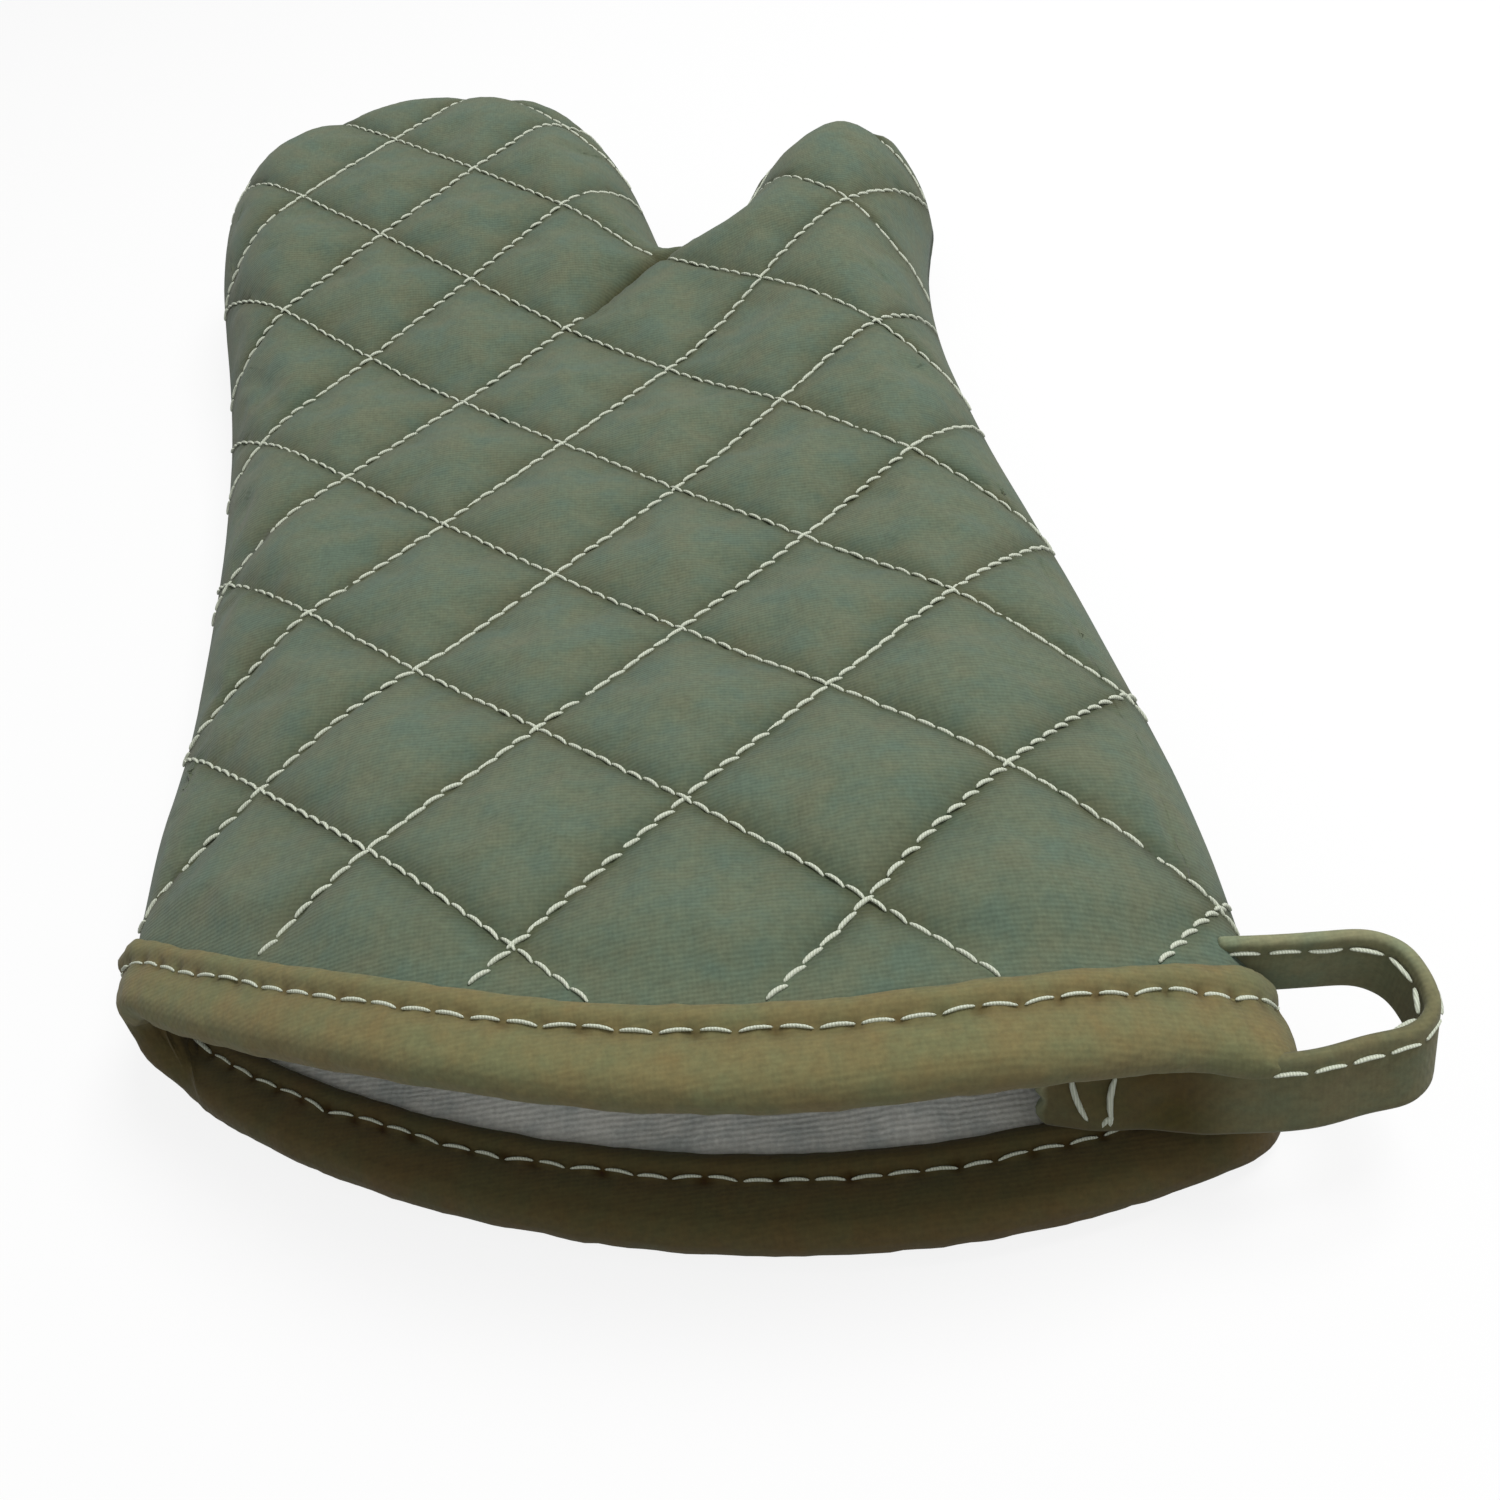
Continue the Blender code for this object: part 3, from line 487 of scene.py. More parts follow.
class Outline:
    """The mitt's side curve in plan, from the left cuff corner round to the right one."""

    def __init__(self) -> None:
        """Read the curve from the border of the back shell's outer face."""
        skin = outer_skin(Side.BACK, 0)
        border = {v: [] for v in skin.verts if v.is_boundary}
        for edge in skin.edges:
            if edge.is_boundary:
                border[edge.verts[0]].append(edge.verts[1])
                border[edge.verts[1]].append(edge.verts[0])
        left, right = Vector(SIZES.cuff_left), Vector(SIZES.cuff_right)
        start = min(border, key=lambda v: (v.co.xy - left).length)
        end = min(border, key=lambda v: (v.co.xy - right).length)
        route = [start, max(border[start], key=lambda v: v.co.y)]
        while route[-1] is not end:
            route.append(next(v for v in border[route[-1]] if v is not route[-2]))
        self.points = plan_of(route)
        skin.free()

    def rim(self, plan: np.ndarray) -> tuple[np.ndarray, np.ndarray, np.ndarray]:
        """Where plan points lie beside the curve.

        Args:
            plan: Points in plan, one a row.

        Returns:
            Distance from the curve, the stretch that is nearest and the share along it.
        """
        best = np.full(len(plan), np.inf)
        stretch = np.zeros(len(plan), int)
        share = np.zeros(len(plan))
        last = len(self.points) - 2
        # The two end stretches run on past the cuff, by many times their length
        past = 9.0
        for i, (a, b) in enumerate(zip(self.points, self.points[1:])):
            gap, t = beside(plan, a, b, 0.0 if i else -past, 1.0 if i < last else past)
            nearer = gap < best
            best[nearer], stretch[nearer], share[nearer] = gap[nearer], i, t[nearer]
        return best, stretch, share

    def rounded(self, plan: np.ndarray) -> np.ndarray:
        """Move plan points by as much as the curve rounds its own corners near them.

        Args:
            plan: Points in plan, one a row.

        Returns:
            The moved points.
        """
        fade = 0.020
        gap, i, t = self.rim(plan)
        t = np.clip(t, 0.0, 1.0)[:, None]
        p = self.points
        start, end = p[i], p[i + 1]
        curve = spline(p[np.maximum(i - 1, 0)], start, end, p[np.minimum(i + 2, len(p) - 1)], t)
        chord = start + (end - start) * t
        return plan + (curve - chord) * (1.0 - smooth(gap / fade))[:, None]

    def within(self, plan: np.ndarray) -> np.ndarray:
        """Whether plan points lie inside the curve, closed far out past the cuff."""
        inside = np.zeros(len(plan), bool)
        far = -1.0
        ring = np.vstack([self.points, (self.points[-1][0], far), (self.points[0][0], far)])
        for a, b in zip(ring, np.roll(ring, -1, axis=0)):
            crosses = (a[1] > plan[:, 1]) != (b[1] > plan[:, 1])
            slope = (b[0] - a[0]) / (b[1] - a[1]) if b[1] != a[1] else 0.0
            inside ^= crosses & (plan[:, 0] < a[0] + (plan[:, 1] - a[1]) * slope)
        return inside


class Form:
    """The raised form of one half: heights of its outer face over the plan."""

    def __init__(self, side: Side, outline: Outline) -> None:
        """Keep the half's own values.

        Args:
            side: Which half.
            outline: The side curve.
        """
        self.side = side
        self.outline = outline
        self.bow = SIZES.back_bow if side is Side.BACK else SIZES.palm_bow
        self.middle = SIZES.back_diamond if side is Side.BACK else SIZES.palm_diamond

    def across(self, x: np.ndarray) -> np.ndarray:
        """Share of the way from the left cuff corner to the right one."""
        return (x - SIZES.cuff_left[0]) / (SIZES.cuff_right[0] - SIZES.cuff_left[0])

    def from_cuff(self, plan: np.ndarray) -> np.ndarray:
        """How far plan points lie in from the cuff's edge."""
        t = self.across(plan[:, 0])
        depth, rounding = self.bow
        edge = SIZES.cuff_left[1] + (SIZES.cuff_right[1] - SIZES.cuff_left[1]) * t
        return plan[:, 1] - edge + depth * np.maximum(4.0 * t * (1.0 - t), 0.0) ** rounding

    def seam(self, y: np.ndarray) -> np.ndarray:
        """Height of the side seam over the palm."""
        rise = smooth((SIZES.cuff_seam_start - y) / SIZES.cuff_seam_reach)
        return SIZES.seam_height + SIZES.cuff_seam_rise * rise

    def lift(self, y: np.ndarray) -> np.ndarray:
        """How far the palm curls up towards the fingertips."""
        return SIZES.tip_lift * smooth((y - SIZES.tip_lift_start) / SIZES.tip_lift_reach)

    def crown(self, plan: np.ndarray) -> np.ndarray:
        """Height of the back's middle over the side seam."""
        x, y = plan[:, 0], plan[:, 1]
        cuff = smooth(-y / SIZES.cuff_rise_reach)
        fingers = smooth((y - SIZES.finger_rise_start) / SIZES.finger_rise_reach)
        thumb = smooth((x - SIZES.thumb_rise_start) / SIZES.thumb_rise_reach)
        thumb = thumb * smooth(1.0 - np.abs(y - SIZES.thumb_middle_y) / SIZES.thumb_spread)
        rise = SIZES.waist_rise + (SIZES.cuff_rise - SIZES.waist_rise) * cuff
        return rise + (SIZES.finger_rise - SIZES.waist_rise) * fingers + SIZES.thumb_rise * thumb

    def crown_reach(self, plan: np.ndarray) -> np.ndarray:
        """How far in from the side the back rises."""
        cuff = smooth(-plan[:, 1] / SIZES.cuff_rise_reach)
        t = np.clip(self.across(plan[:, 0]), 0.0, 1.0)
        at_cuff = SIZES.cuff_left_reach + (SIZES.cuff_right_reach - SIZES.cuff_left_reach) * t
        return SIZES.crown_reach + (at_cuff - SIZES.crown_reach) * cuff

    def lattice(self, plan: np.ndarray) -> tuple[np.ndarray, np.ndarray]:
        """Places among the diamonds, as shares of their spacing from one's middle.

        Args:
            plan: Points in plan, one a row.

        Returns:
            The place along the up-right way and along the down-right way.
        """
        x, y = plan[:, 0] - self.middle[0], plan[:, 1] - self.middle[1]
        diagonal = math.sqrt(2.0) * SIZES.quilt_spacing
        return (x + y) / diagonal, (x - y) / diagonal

    def quilted(self, plan: np.ndarray) -> np.ndarray:
        """0 under the binding and 1 where the quilting shows in full."""
        return smooth((self.from_cuff(plan) - SIZES.binding_width) / SIZES.puff_fade)

    def sewn_distance(self, plan: np.ndarray) -> np.ndarray:
        """Distance from the nearest line of quilting."""
        u, v = self.lattice(plan)
        return np.minimum(np.abs(0.5 - u % 1.0), np.abs(0.5 - v % 1.0)) * SIZES.quilt_spacing

    def heights(self, plan: np.ndarray) -> np.ndarray:
        """The outer face's height at plan points.

        Args:
            plan: Points in plan, one a row.

        Returns:
            Heights over the table.
        """
        gap = self.outline.rim(plan)[0]
        rise = np.sin(np.arccos(1.0 - np.minimum(gap / SIZES.edge_round, 1.0)))
        seam = self.seam(plan[:, 1]) + self.lift(plan[:, 1])
        quilted = self.quilted(plan)
        if self.side is Side.PALM:
            pressed = np.sin(0.5 * math.pi * np.minimum(self.sewn_distance(plan) / SIZES.palm_flank, 1.0))
            drop = self.seam(plan[:, 1]) - SIZES.cuff_lift * (1.0 - quilted)
            return seam - (drop - SIZES.palm_puff * (1.0 - pressed) * quilted) * rise
        u, v = self.lattice(plan)
        puff = np.abs(np.cos(math.pi * u) * np.cos(math.pi * v)) ** SIZES.puff_power
        full = puff * quilted + SIZES.edge_puff_share * (1.0 - quilted)
        full *= smooth(gap / (SIZES.edge_round + SIZES.edge_puff_fade))
        reach = np.sin(0.5 * math.pi * np.minimum(gap / self.crown_reach(plan), 1.0))
        high = SIZES.edge_round * rise + (self.crown(plan) - SIZES.edge_round) * reach
        return seam + high + SIZES.back_puff * (full - SIZES.edge_puff_share) * rise


@dataclass(frozen=True)
class Crease:
    """The pinched fold from the crotch of the thumb, along a line of quilting that it swallows."""

    route: tuple[tuple[float, float], ...] = (
        (0.0380, 0.0943),
        (0.0279, 0.0842),
        (0.0180, 0.0743),
        (0.0110, 0.0673),
        (0.0040, 0.0603),
    )
    depth_shares: tuple[float, ...] = (0.7, 0.9, 1.0, 0.8, 0.0)
    depth: float = 0.0032
    fold_width: float = 0.0014
    dip_depth: float = 0.0012
    dip_width: float = 0.0120
    rim_fade: float = 0.0040
    # Painted shade in the fold, deepest where it sinks most
    fold_painted_shade: float = 0.7
    swallowed: float = 0.0014

    def hides(self, plan: np.ndarray) -> np.ndarray:
        """Whether the fold swallows stitches at plan points."""
        return self.drop(plan, self.rim_fade, self.swallowed / self.fold_width) > self.dip_depth

    def drop(self, plan: np.ndarray, rim_gap: np.ndarray | float, spread: float) -> np.ndarray:
        """How far the fold sinks the back's cloth.

        Args:
            plan: Points in plan, one a row.
            rim_gap: Each point's distance from the side curve, where the fold fades.
            spread: How much wider than on the canvas the fold is.

        Returns:
            Depths in metres.
        """
        sunk = np.zeros(len(plan))
        stretches = zip(self.route, self.route[1:], self.depth_shares, self.depth_shares[1:])
        for a, b, full, following in stretches:
            gap, t = beside(plan, np.array(a), np.array(b))
            fold = self.depth * hump(gap, self.fold_width * spread)
            dip = self.dip_depth * hump(gap, self.dip_width * spread)
            sunk = np.maximum(sunk, (full + (following - full) * t) * (fold + dip))
        return sunk * smooth(rim_gap / self.rim_fade)


def to_object(name: str, mesh: BMesh, finish: Material) -> Object:
    """Make a smooth object of a bmesh, with its place in its mesh.

    Args:
        name: The piece's name.
        mesh: The bmesh, which is freed.
        finish: Its material.

    Returns:
        The new object.
    """
    data = bpy.data.meshes.new(name)
    mesh.to_mesh(data)
    mesh.free()
    data.materials.append(finish)
    data.shade_smooth()
    made = bpy.data.objects.new(name, data)
    bpy.context.scene.collection.objects.link(made)
    return made


def dress(made: Object, slot: str, *nodes: str, fill: float = 0.0, rides: bool = True) -> None:
    """Attach a piece to the mitt's body where it rides, and hide the frame's nodes that it stands for.

    Args:
        made: The piece.
        slot: Not used.
        *nodes: The frame's nodes that it stands for.
        fill: How full it is, where it is padded; not used.
        rides: Whether it rides on the mitt's body.
    """
    if rides:
        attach(made, "mitt")
    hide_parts(*nodes)


def tree_of(obj: Object) -> BVHTree:
    """A search tree over an object's own mesh."""
    mesh = bmesh.new()
    mesh.from_mesh(obj.data)
    tree = BVHTree.FromBMesh(mesh)
    mesh.free()
    return tree


@dataclass(frozen=True)
class StitchSizes:
    """Sizes of one stitch of each kind, in metres, and its slant as a share of its length."""

    pitch: float
    length: float
    width: float
    height: float
    slant: float
    sink: float


STITCHES = {
    Lay.ROPED: StitchSizes(0.0040, 0.0042, 0.00080, 0.0009, 0.24, -0.00025),
    Lay.THIN: StitchSizes(0.0040, 0.0042, 0.00066, 0.0008, 0.10, -0.00022),
    Lay.TOPSTITCH: StitchSizes(0.0056, 0.0050, 0.00054, 0.0008, 0.0, -0.00028),
    Lay.TACK: StitchSizes(0.0085, 0.0085, 0.00100, 0.0010, 0.0, -0.0002),
}


def needle_places(points: list[Vector], pitch: float, closed: bool) -> list[Vector]:
    """Where the needle goes through along a line: evenly, and at both ends.

    Args:
        points: The line, in order.
        pitch: The wanted step.
        closed: Whether the line is a ring.

    Returns:
        The places, with the first one again at the end of a ring.
    """
    route = np.array([*points, points[0]] if closed else points)
    lengths = np.append(0.0, np.cumsum(np.linalg.norm(np.diff(route, axis=0), axis=1)))
    count = max(int(lengths[-1] / pitch + 0.5), 1)
    wanted = np.linspace(0.0, lengths[-1], count + 1)
    return [Vector(place) for place in zip(*(np.interp(wanted, lengths, axis) for axis in route.T))]


def bead() -> BMesh:
    """One stitch's own shape, a bowed bead along X that stays full to near its ends.

    Returns:
        The bead, 2 long and 2 across.
    """
    fullness, pole, bow = 3.5, 0.01, 1.1
    mesh = bmesh.new()
    turn = Matrix.Rotation(math.radians(90.0), 4, "Y")
    bmesh.ops.create_uvsphere(mesh, u_segments=8, v_segments=6, radius=1.0, matrix=turn)
    for vert in mesh.verts:
        along = min(abs(vert.co.x), 1.0)
        thin = math.sqrt(1.0 - along**2)
        if thin > pole:
            full = math.sqrt(1.0 - along**fullness) / thin
            vert.co = (vert.co.x, vert.co.y * full, vert.co.z * full)
        vert.co.y += bow * (1.0 - along**2)
    return mesh


class Sewing:
    """Lays separate stitches along lines on a surface."""

    def __init__(self, surface: BVHTree, seed: int) -> None:
        """Keep the surface.

        Args:
            surface: The cloth that the stitches lie on.
            seed: Seed of the small differences between stitches.
        """
        self.surface = surface
        self.chance = random.Random(seed)
        self.places: list[Matrix] = []

    def stitch(self, start: Vector, end: Vector, face: Vector, sizes: StitchSizes) -> None:
        """Place one stitch, a drawn-out bead half sunk in the cloth.

        Args:
            start: Where the thread comes up.
            end: Where it goes down.
            face: The cloth's direction out.
            sizes: The stitch's sizes.
        """
        slants, lengths = (0.6, 1.3), (0.94, 1.03)
        along = end - start
        stretch = sizes.length / max(sizes.pitch, along.length)
        way = along.normalized()
        way = (way + way.cross(face) * sizes.slant * self.chance.uniform(*slants)).normalized()
        across = face.cross(way).normalized()
        # Each stitch arches a little towards the fingertips
        across = across if across.y >= 0.0 else -across
        out = way.cross(across).normalized()
        half = along.length * 0.5 * stretch * self.chance.uniform(*lengths)
        turned = Matrix((way * half, across * sizes.width * 0.5, out * sizes.height * 0.5)).transposed()
        placed = turned.to_4x4()
        placed.translation = (start + end) * 0.5 - face * sizes.sink
        self.places.append(placed)

    def line(self, points: list[Vector], lay: Lay, closed: bool = False) -> int:
        """Lay stitches along a line of points, drawn onto the surface.

        Args:
            points: The line, in order.
            lay: How the stitches lie.
            closed: Whether the line is a ring.

        Returns:
            The number of stitches.
        """
        sizes = STITCHES[lay]
        places = [self.surface.find_nearest(at) for at in needle_places(points, sizes.pitch, closed)]
        for (a, n, _, _), (b, m, _, _) in zip(places, places[1:]):
            self.stitch(a, b, (n + m).normalized(), sizes)
        return len(places) - 1

    def finish(self, name: str, material: Material) -> Object:
        """Make the object of all the stitches laid.

        Args:
            name: The piece's name.
            material: Its thread.

        Returns:
            The new object.
        """
        least_height = 0.0001
        mesh = bead()
        number = mesh.verts.layers.int.new("number")
        count = 1
        while count < len(self.places):
            grown = bmesh.ops.duplicate(mesh, geom=mesh.verts[:] + mesh.edges[:] + mesh.faces[:])
            for item in grown["geom"]:
                if isinstance(item, BMVert):
                    item[number] += count
            count *= 2
        spare = [v for v in mesh.verts if v[number] >= len(self.places)]
        bmesh.ops.delete(mesh, geom=spare, context="VERTS")
        for vert in mesh.verts:
            vert.co = self.places[vert[number]] @ vert.co
            vert.co.z = max(vert.co.z, least_height)
        return to_object(name, mesh, material)


@dataclass
class QuiltedHalf:
    """One half of the mitt: shell, wadding, lining and quilting."""

    side: Side
    outline: Outline
    crease: Crease
    cuts: int = 7
    wall: float = 0.0009
    pucker: float = 0.00022
    pucker_reach: float = 0.0042
    pucker_pitch: float = 0.0062
    # Each line's puckers start elsewhere, and sway along it
    pucker_shift: float = 2.1
    pucker_sway: float = 1.3
    pucker_sway_rate: float = 1.7
    mottle: float = 0.0007
    mottle_size: float = 0.034
    fine_share: float = 0.35
    calm_reach: float = 0.012
    # Painted shade along the quilting: a narrow band by the stitches and a wider one in the valleys between
    # the puffs
    sewn_reach: float = 0.0016
    valley_reach: float = 0.0062
    valley_painted_shade: float = 0.5
    cloth_cuts: int = 3
    cloth_frames: int = 20
    pressure: float = 4.0
    slack: float = 0.012
    most_moved: float = 0.0020
    sideways_share: float = 0.5
    pin_reach: float = 0.0009
    pin_calm: float = 0.35
    layer_cuts: int = 2
    layer_fold_spread: float = 2.2
    layer_clear: float = 0.0008
    layer_tilt: float = 0.2
    rim_clear: float = 0.0012
    form: Form = field(init=False)
    name: str = field(init=False)

    def __post_init__(self) -> None:
        """Work out the half's form and its name."""
        self.form = Form(self.side, self.outline)
        self.name = self.side.name.lower()

    def waves(self, plan: np.ndarray) -> np.ndarray:
        """Small puckers beside the stitching and soft unevenness between, as heights.

        Args:
            plan: Points in plan, one a row.

        Returns:
            Heights to add along the outward way.
        """
        u, v = self.form.lattice(plan)
        spacing, fine_layer = SIZES.quilt_spacing, 5.0
        high = np.zeros(len(plan))
        for near, along in ((u, v), (v, u)):
            line = np.floor(near)
            gap = np.abs(0.5 - near % 1.0) * spacing
            phase = along * spacing / self.pucker_pitch * math.tau + line * self.pucker_shift
            phase = phase + self.pucker_sway * np.sin(along * math.tau * self.pucker_sway_rate + line)
            high += self.pucker * np.sin(phase) * np.exp(-gap / self.pucker_reach)
        for share, layer in ((1.0, self.side.value), (self.fine_share, fine_layer)):
            size = self.mottle_size * share
            uneven = np.array([noise.noise(Vector((x, y, layer)) / size) for x, y in plan])
            high += self.mottle * share * uneven
        return high

    def calm(self, plan: np.ndarray) -> np.ndarray:
        """0 at the side seam and under the binding, where the cloth is held, and 1 between."""
        return smooth(self.outline.rim(plan)[0] / self.calm_reach) * self.form.quilted(plan)

    def folded(self, plan: np.ndarray, spread: float = 1.0) -> np.ndarray:
        """How far the crease sinks the cloth, which it does on the back alone.

        Args:
            plan: Points in plan, one a row.
            spread: How much wider than on the canvas the fold is.

        Returns:
            Depths in metres.
        """
        if self.side is Side.PALM:
            return np.zeros(len(plan))
        return self.crease.drop(plan, self.outline.rim(plan)[0], spread)

    def raised(self, plan: np.ndarray) -> np.ndarray:
        """Places on the outer face over plan points, with the fold but no unevenness."""
        return np.column_stack((self.outline.rounded(plan), self.form.heights(plan) - self.folded(plan)))

    def inflated(self, plan: np.ndarray) -> np.ndarray:
        """How the wadding presses the slack canvas out between the lines that hold it.

        A coarse copy of the canvas is blown up as simulated cloth, pinned along the quilting, the
        side seam and the cuff. A little slack lets it pucker along the pins.

        Args:
            plan: Points of the fine canvas in plan, one a row.

        Returns:
            How far each point moves, one a row.
        """
        mesh = outer_skin(self.side, self.cloth_cuts)
        flat = plan_of(mesh.verts)
        start = self.raised(flat)
        for vert, place in zip(mesh.verts, start):
            vert.co = place
        trial = to_object(f"{self.name}_trial", mesh, bpy.data.materials.new("trial"))
        held = trial.vertex_groups.new(name="held")
        pinned = (self.form.sewn_distance(flat) < self.pin_reach) | (self.calm(flat) < self.pin_calm)
        held.add([int(i) for i in np.flatnonzero(pinned)], 1.0, "REPLACE")
        cloth = trial.modifiers.new("cloth", "CLOTH")
        cloth.settings.vertex_group_mass = held.name
        cloth.settings.use_pressure = True
        cloth.settings.uniform_pressure_force = self.pressure
        cloth.settings.shrink_min = -self.slack
        cloth.settings.effector_weights.gravity = 0.0
        cloth.collision_settings.use_collision = False
        cloth.point_cache.frame_end = self.cloth_frames
        for step in range(1, self.cloth_frames + 1):
            bpy.context.scene.frame_set(step)
        puffed = trial.evaluated_get(bpy.context.evaluated_depsgraph_get()).data
        ends = np.empty(len(start) * 3)
        puffed.vertices.foreach_get("co", ends)
        moves = ends.reshape(-1, 3) - start
        size = np.linalg.norm(moves, axis=1)
        LOG.info("%s canvas pressed out by %.1f mm at most", self.name, size.max() / MM)
        moves *= (self.most_moved / np.maximum(size, self.most_moved))[:, None]
        # The palm is pressed on the table, where only its height may change
        moves[:, :2] *= self.sideways_share if self.side is Side.BACK else 0.0
        bpy.data.meshes.remove(trial.data)
        bpy.context.scene.frame_set(1)
        return self.spread_moves(flat, moves, plan)

    def spread_moves(self, coarse: np.ndarray, moves: np.ndarray, plan: np.ndarray) -> np.ndarray:
        """Carry moves from the points of a coarse mesh to those of a fine one.

        Args:
            coarse: The coarse mesh's points in plan.
            moves: How far each of them moves.
            plan: The fine mesh's points in plan.

        Returns:
            How far each fine point moves.
        """
        nearest, least = 4, 0.0002
        places = search_tree((x, y, 0.0) for x, y in coarse)
        carried = np.zeros((len(plan), 3))
        for i, (x, y) in enumerate(plan):
            found = places.find_n((x, y, 0.0), nearest)
            weights = [1.0 / (gap + least) ** 2 for _, _, gap in found]
            for (_, k, _), weight in zip(found, weights):
                carried[i] += moves[k] * (weight / sum(weights))
        return carried

    def shell(self, material: Material) -> Object:
        """The canvas: its plan raised again, fine and full.

        Args:
            material: The canvas.

        Returns:
            The piece.
        """
        mesh = outer_skin(self.side, self.cuts)
        flat = plan_of(mesh.verts)
        calm = self.calm(flat)
        raised = self.raised(flat)
        raised[:, 2] += self.side.value * self.waves(flat) * calm
        raised += self.inflated(flat) * calm[:, None]
        raised[:, 2] = np.maximum(raised[:, 2], 0.0)
        # Painted shade: dark by the quilting lines, wider in the valleys and deepest in the crease
        sewn = mesh.verts.layers.float.new("sewn")
        sewn_gap = self.form.sewn_distance(flat)
        near = hump(sewn_gap, self.sewn_reach) + self.valley_painted_shade * hump(sewn_gap, self.valley_reach)
        near = near * self.form.quilted(flat)
        near += self.crease.fold_painted_shade * (self.folded(flat) / self.crease.depth) ** 2
        for vert, place, share in zip(mesh.verts, raised, near):
            vert.co = place
            vert[sewn] = share
        mesh.normal_update()
        made = to_object(f"{self.name}_canvas", mesh, material)
        wall = made.modifiers.new("wall", "SOLIDIFY")
        wall.thickness = self.wall
        wall.offset = -1.0
        dress(made, "shell_canvas", f"{self.name}_shell", fill=0.55)
        LOG.info("%s canvas: %d faces", self.name, len(made.data.polygons))
        return made

    def layer(self, part: str, material: Material, slot: str) -> Object:
        """A hidden or inner layer, smoothed and sunk along with the fold.

        Args:
            part: The layer's name in the frame.
            material: Its cloth.
            slot: Not used.

        Returns:
            The piece.
        """
        mesh = merged_copy(f"{self.name}_{part}")
        bmesh.ops.subdivide_edges(mesh, edges=mesh.edges[:], cuts=self.layer_cuts, use_grid_fill=True)
        mesh.normal_update()
        flat = plan_of(mesh.verts)
        calm = self.calm(flat)
        outward = np.array([v.normal.z * self.side.value > self.layer_tilt for v in mesh.verts])
        drop = np.maximum(-self.side.value * self.waves(flat) * calm, 0.0) + self.layer_clear * calm
        drop = np.where(outward & (part == "wadding"), drop, 0.0) + self.folded(flat, self.layer_fold_spread)
        for vert, (x, y), sunk in zip(mesh.verts, self.outline.rounded(flat), drop):
            vert.co = (x, y, vert.co.z - sunk)
        made = to_object(f"{self.name}_{part}_layer", mesh, material)
        dress(made, slot, f"{self.name}_{part}", fill=0.4)
        return made

    def quilting(self, shell: Object, material: Material) -> Object:
        """The diamond quilting as separate stitches on the shell.

        Args:
            shell: The half's canvas.
            material: The thread.

        Returns:
            The piece.
        """
        sewing = Sewing(tree_of(shell), 11 + int(self.side.value))
        step, reach, rows = 0.001, 0.33, 12
        root = math.sqrt(0.5)
        rising, falling = np.array((root, root)), np.array((root, -root))
        steps = np.arange(-reach, reach, step)[:, None]
        total = 0
        for lay, along, across in ((Lay.ROPED, rising, falling), (Lay.THIN, falling, rising)):
            for row in range(-rows, rows):
                base = np.array(self.form.middle) + across * SIZES.quilt_spacing * (row + 0.5)
                total += self.runs(sewing, base + steps * along, lay)
        LOG.info("%s half: %d quilting stitches", self.name, total)
        made = sewing.finish(f"{self.name}_quilting_stitches", material)
        dress(made, "stitching_thread", f"{self.name}_quilting_thread")
        return made

    def runs(self, sewing: Sewing, plan: np.ndarray, lay: Lay) -> int:
        """Sew each stretch of a straight line that lies on the quilted cloth.

        Args:
            sewing: What lays the stitches.
            plan: Close points along the line, in plan.
            lay: How the stitches lie.

        Returns:
            The number of stitches.
        """
        least_points = 5
        allowed = (self.outline.rim(plan)[0] > self.rim_clear) & self.outline.within(plan)
        allowed &= self.form.from_cuff(plan) > SIZES.binding_width + self.rim_clear
        if self.side is Side.BACK:
            allowed &= ~self.crease.hides(plan)
        total, run = 0, []
        for ok, place in zip(allowed, self.raised(plan)):
            if ok:
                run.append(Vector(place))
                continue
            if len(run) >= least_points:
                total += sewing.line(run, lay)
            run = []
        return total

    def build(self, canvas: Material, wadding: Material, lining: Material, thread: Material) -> list[Object]:
        """Make the half's four pieces.

        Args:
            canvas: The shell's cloth.
            wadding: The wadding.
            lining: The lining's cloth.
            thread: The quilting thread.

        Returns:
            The pieces.
        """
        shell = self.shell(canvas)
        layers = (("wadding", wadding, "wadding_felt"), ("lining", lining, "lining_cotton"))
        return [shell, *(self.layer(*layer) for layer in layers), self.quilting(shell, thread)]


def thread_route(node: str) -> list[Vector]:
    """The middle line of a thread node, from its sections' centres, in order.

    Args:
        node: A thread's node: a thin strip or a ring.

    Returns:
        The points along it.
    """
    section = 0.0013
    mesh = merged_copy(node)
    group = {}
    centres = []
    for seed in mesh.verts:
        if seed in group:
            continue
        members = [seed]
        group[seed] = len(centres)
        for vert in members:
            for edge in vert.link_edges:
                other = edge.other_vert(vert)
                if other not in group and edge.calc_length() < section:
                    group[other] = len(centres)
                    members.append(other)
        centres.append(sum((v.co for v in members), Vector()) / len(members))
    near = {i: set() for i in range(len(centres))}
    for edge in mesh.edges:
        a, b = group[edge.verts[0]], group[edge.verts[1]]
        if a != b:
            near[a].add(b)
            near[b].add(a)
    mesh.free()
    order = [min(near, key=lambda i: len(near[i]))]
    while following := [i for i in near[order[-1]] if i not in order]:
        order.append(min(following, key=lambda i: (centres[i] - centres[order[-1]]).length))
    return [centres[i] for i in order]


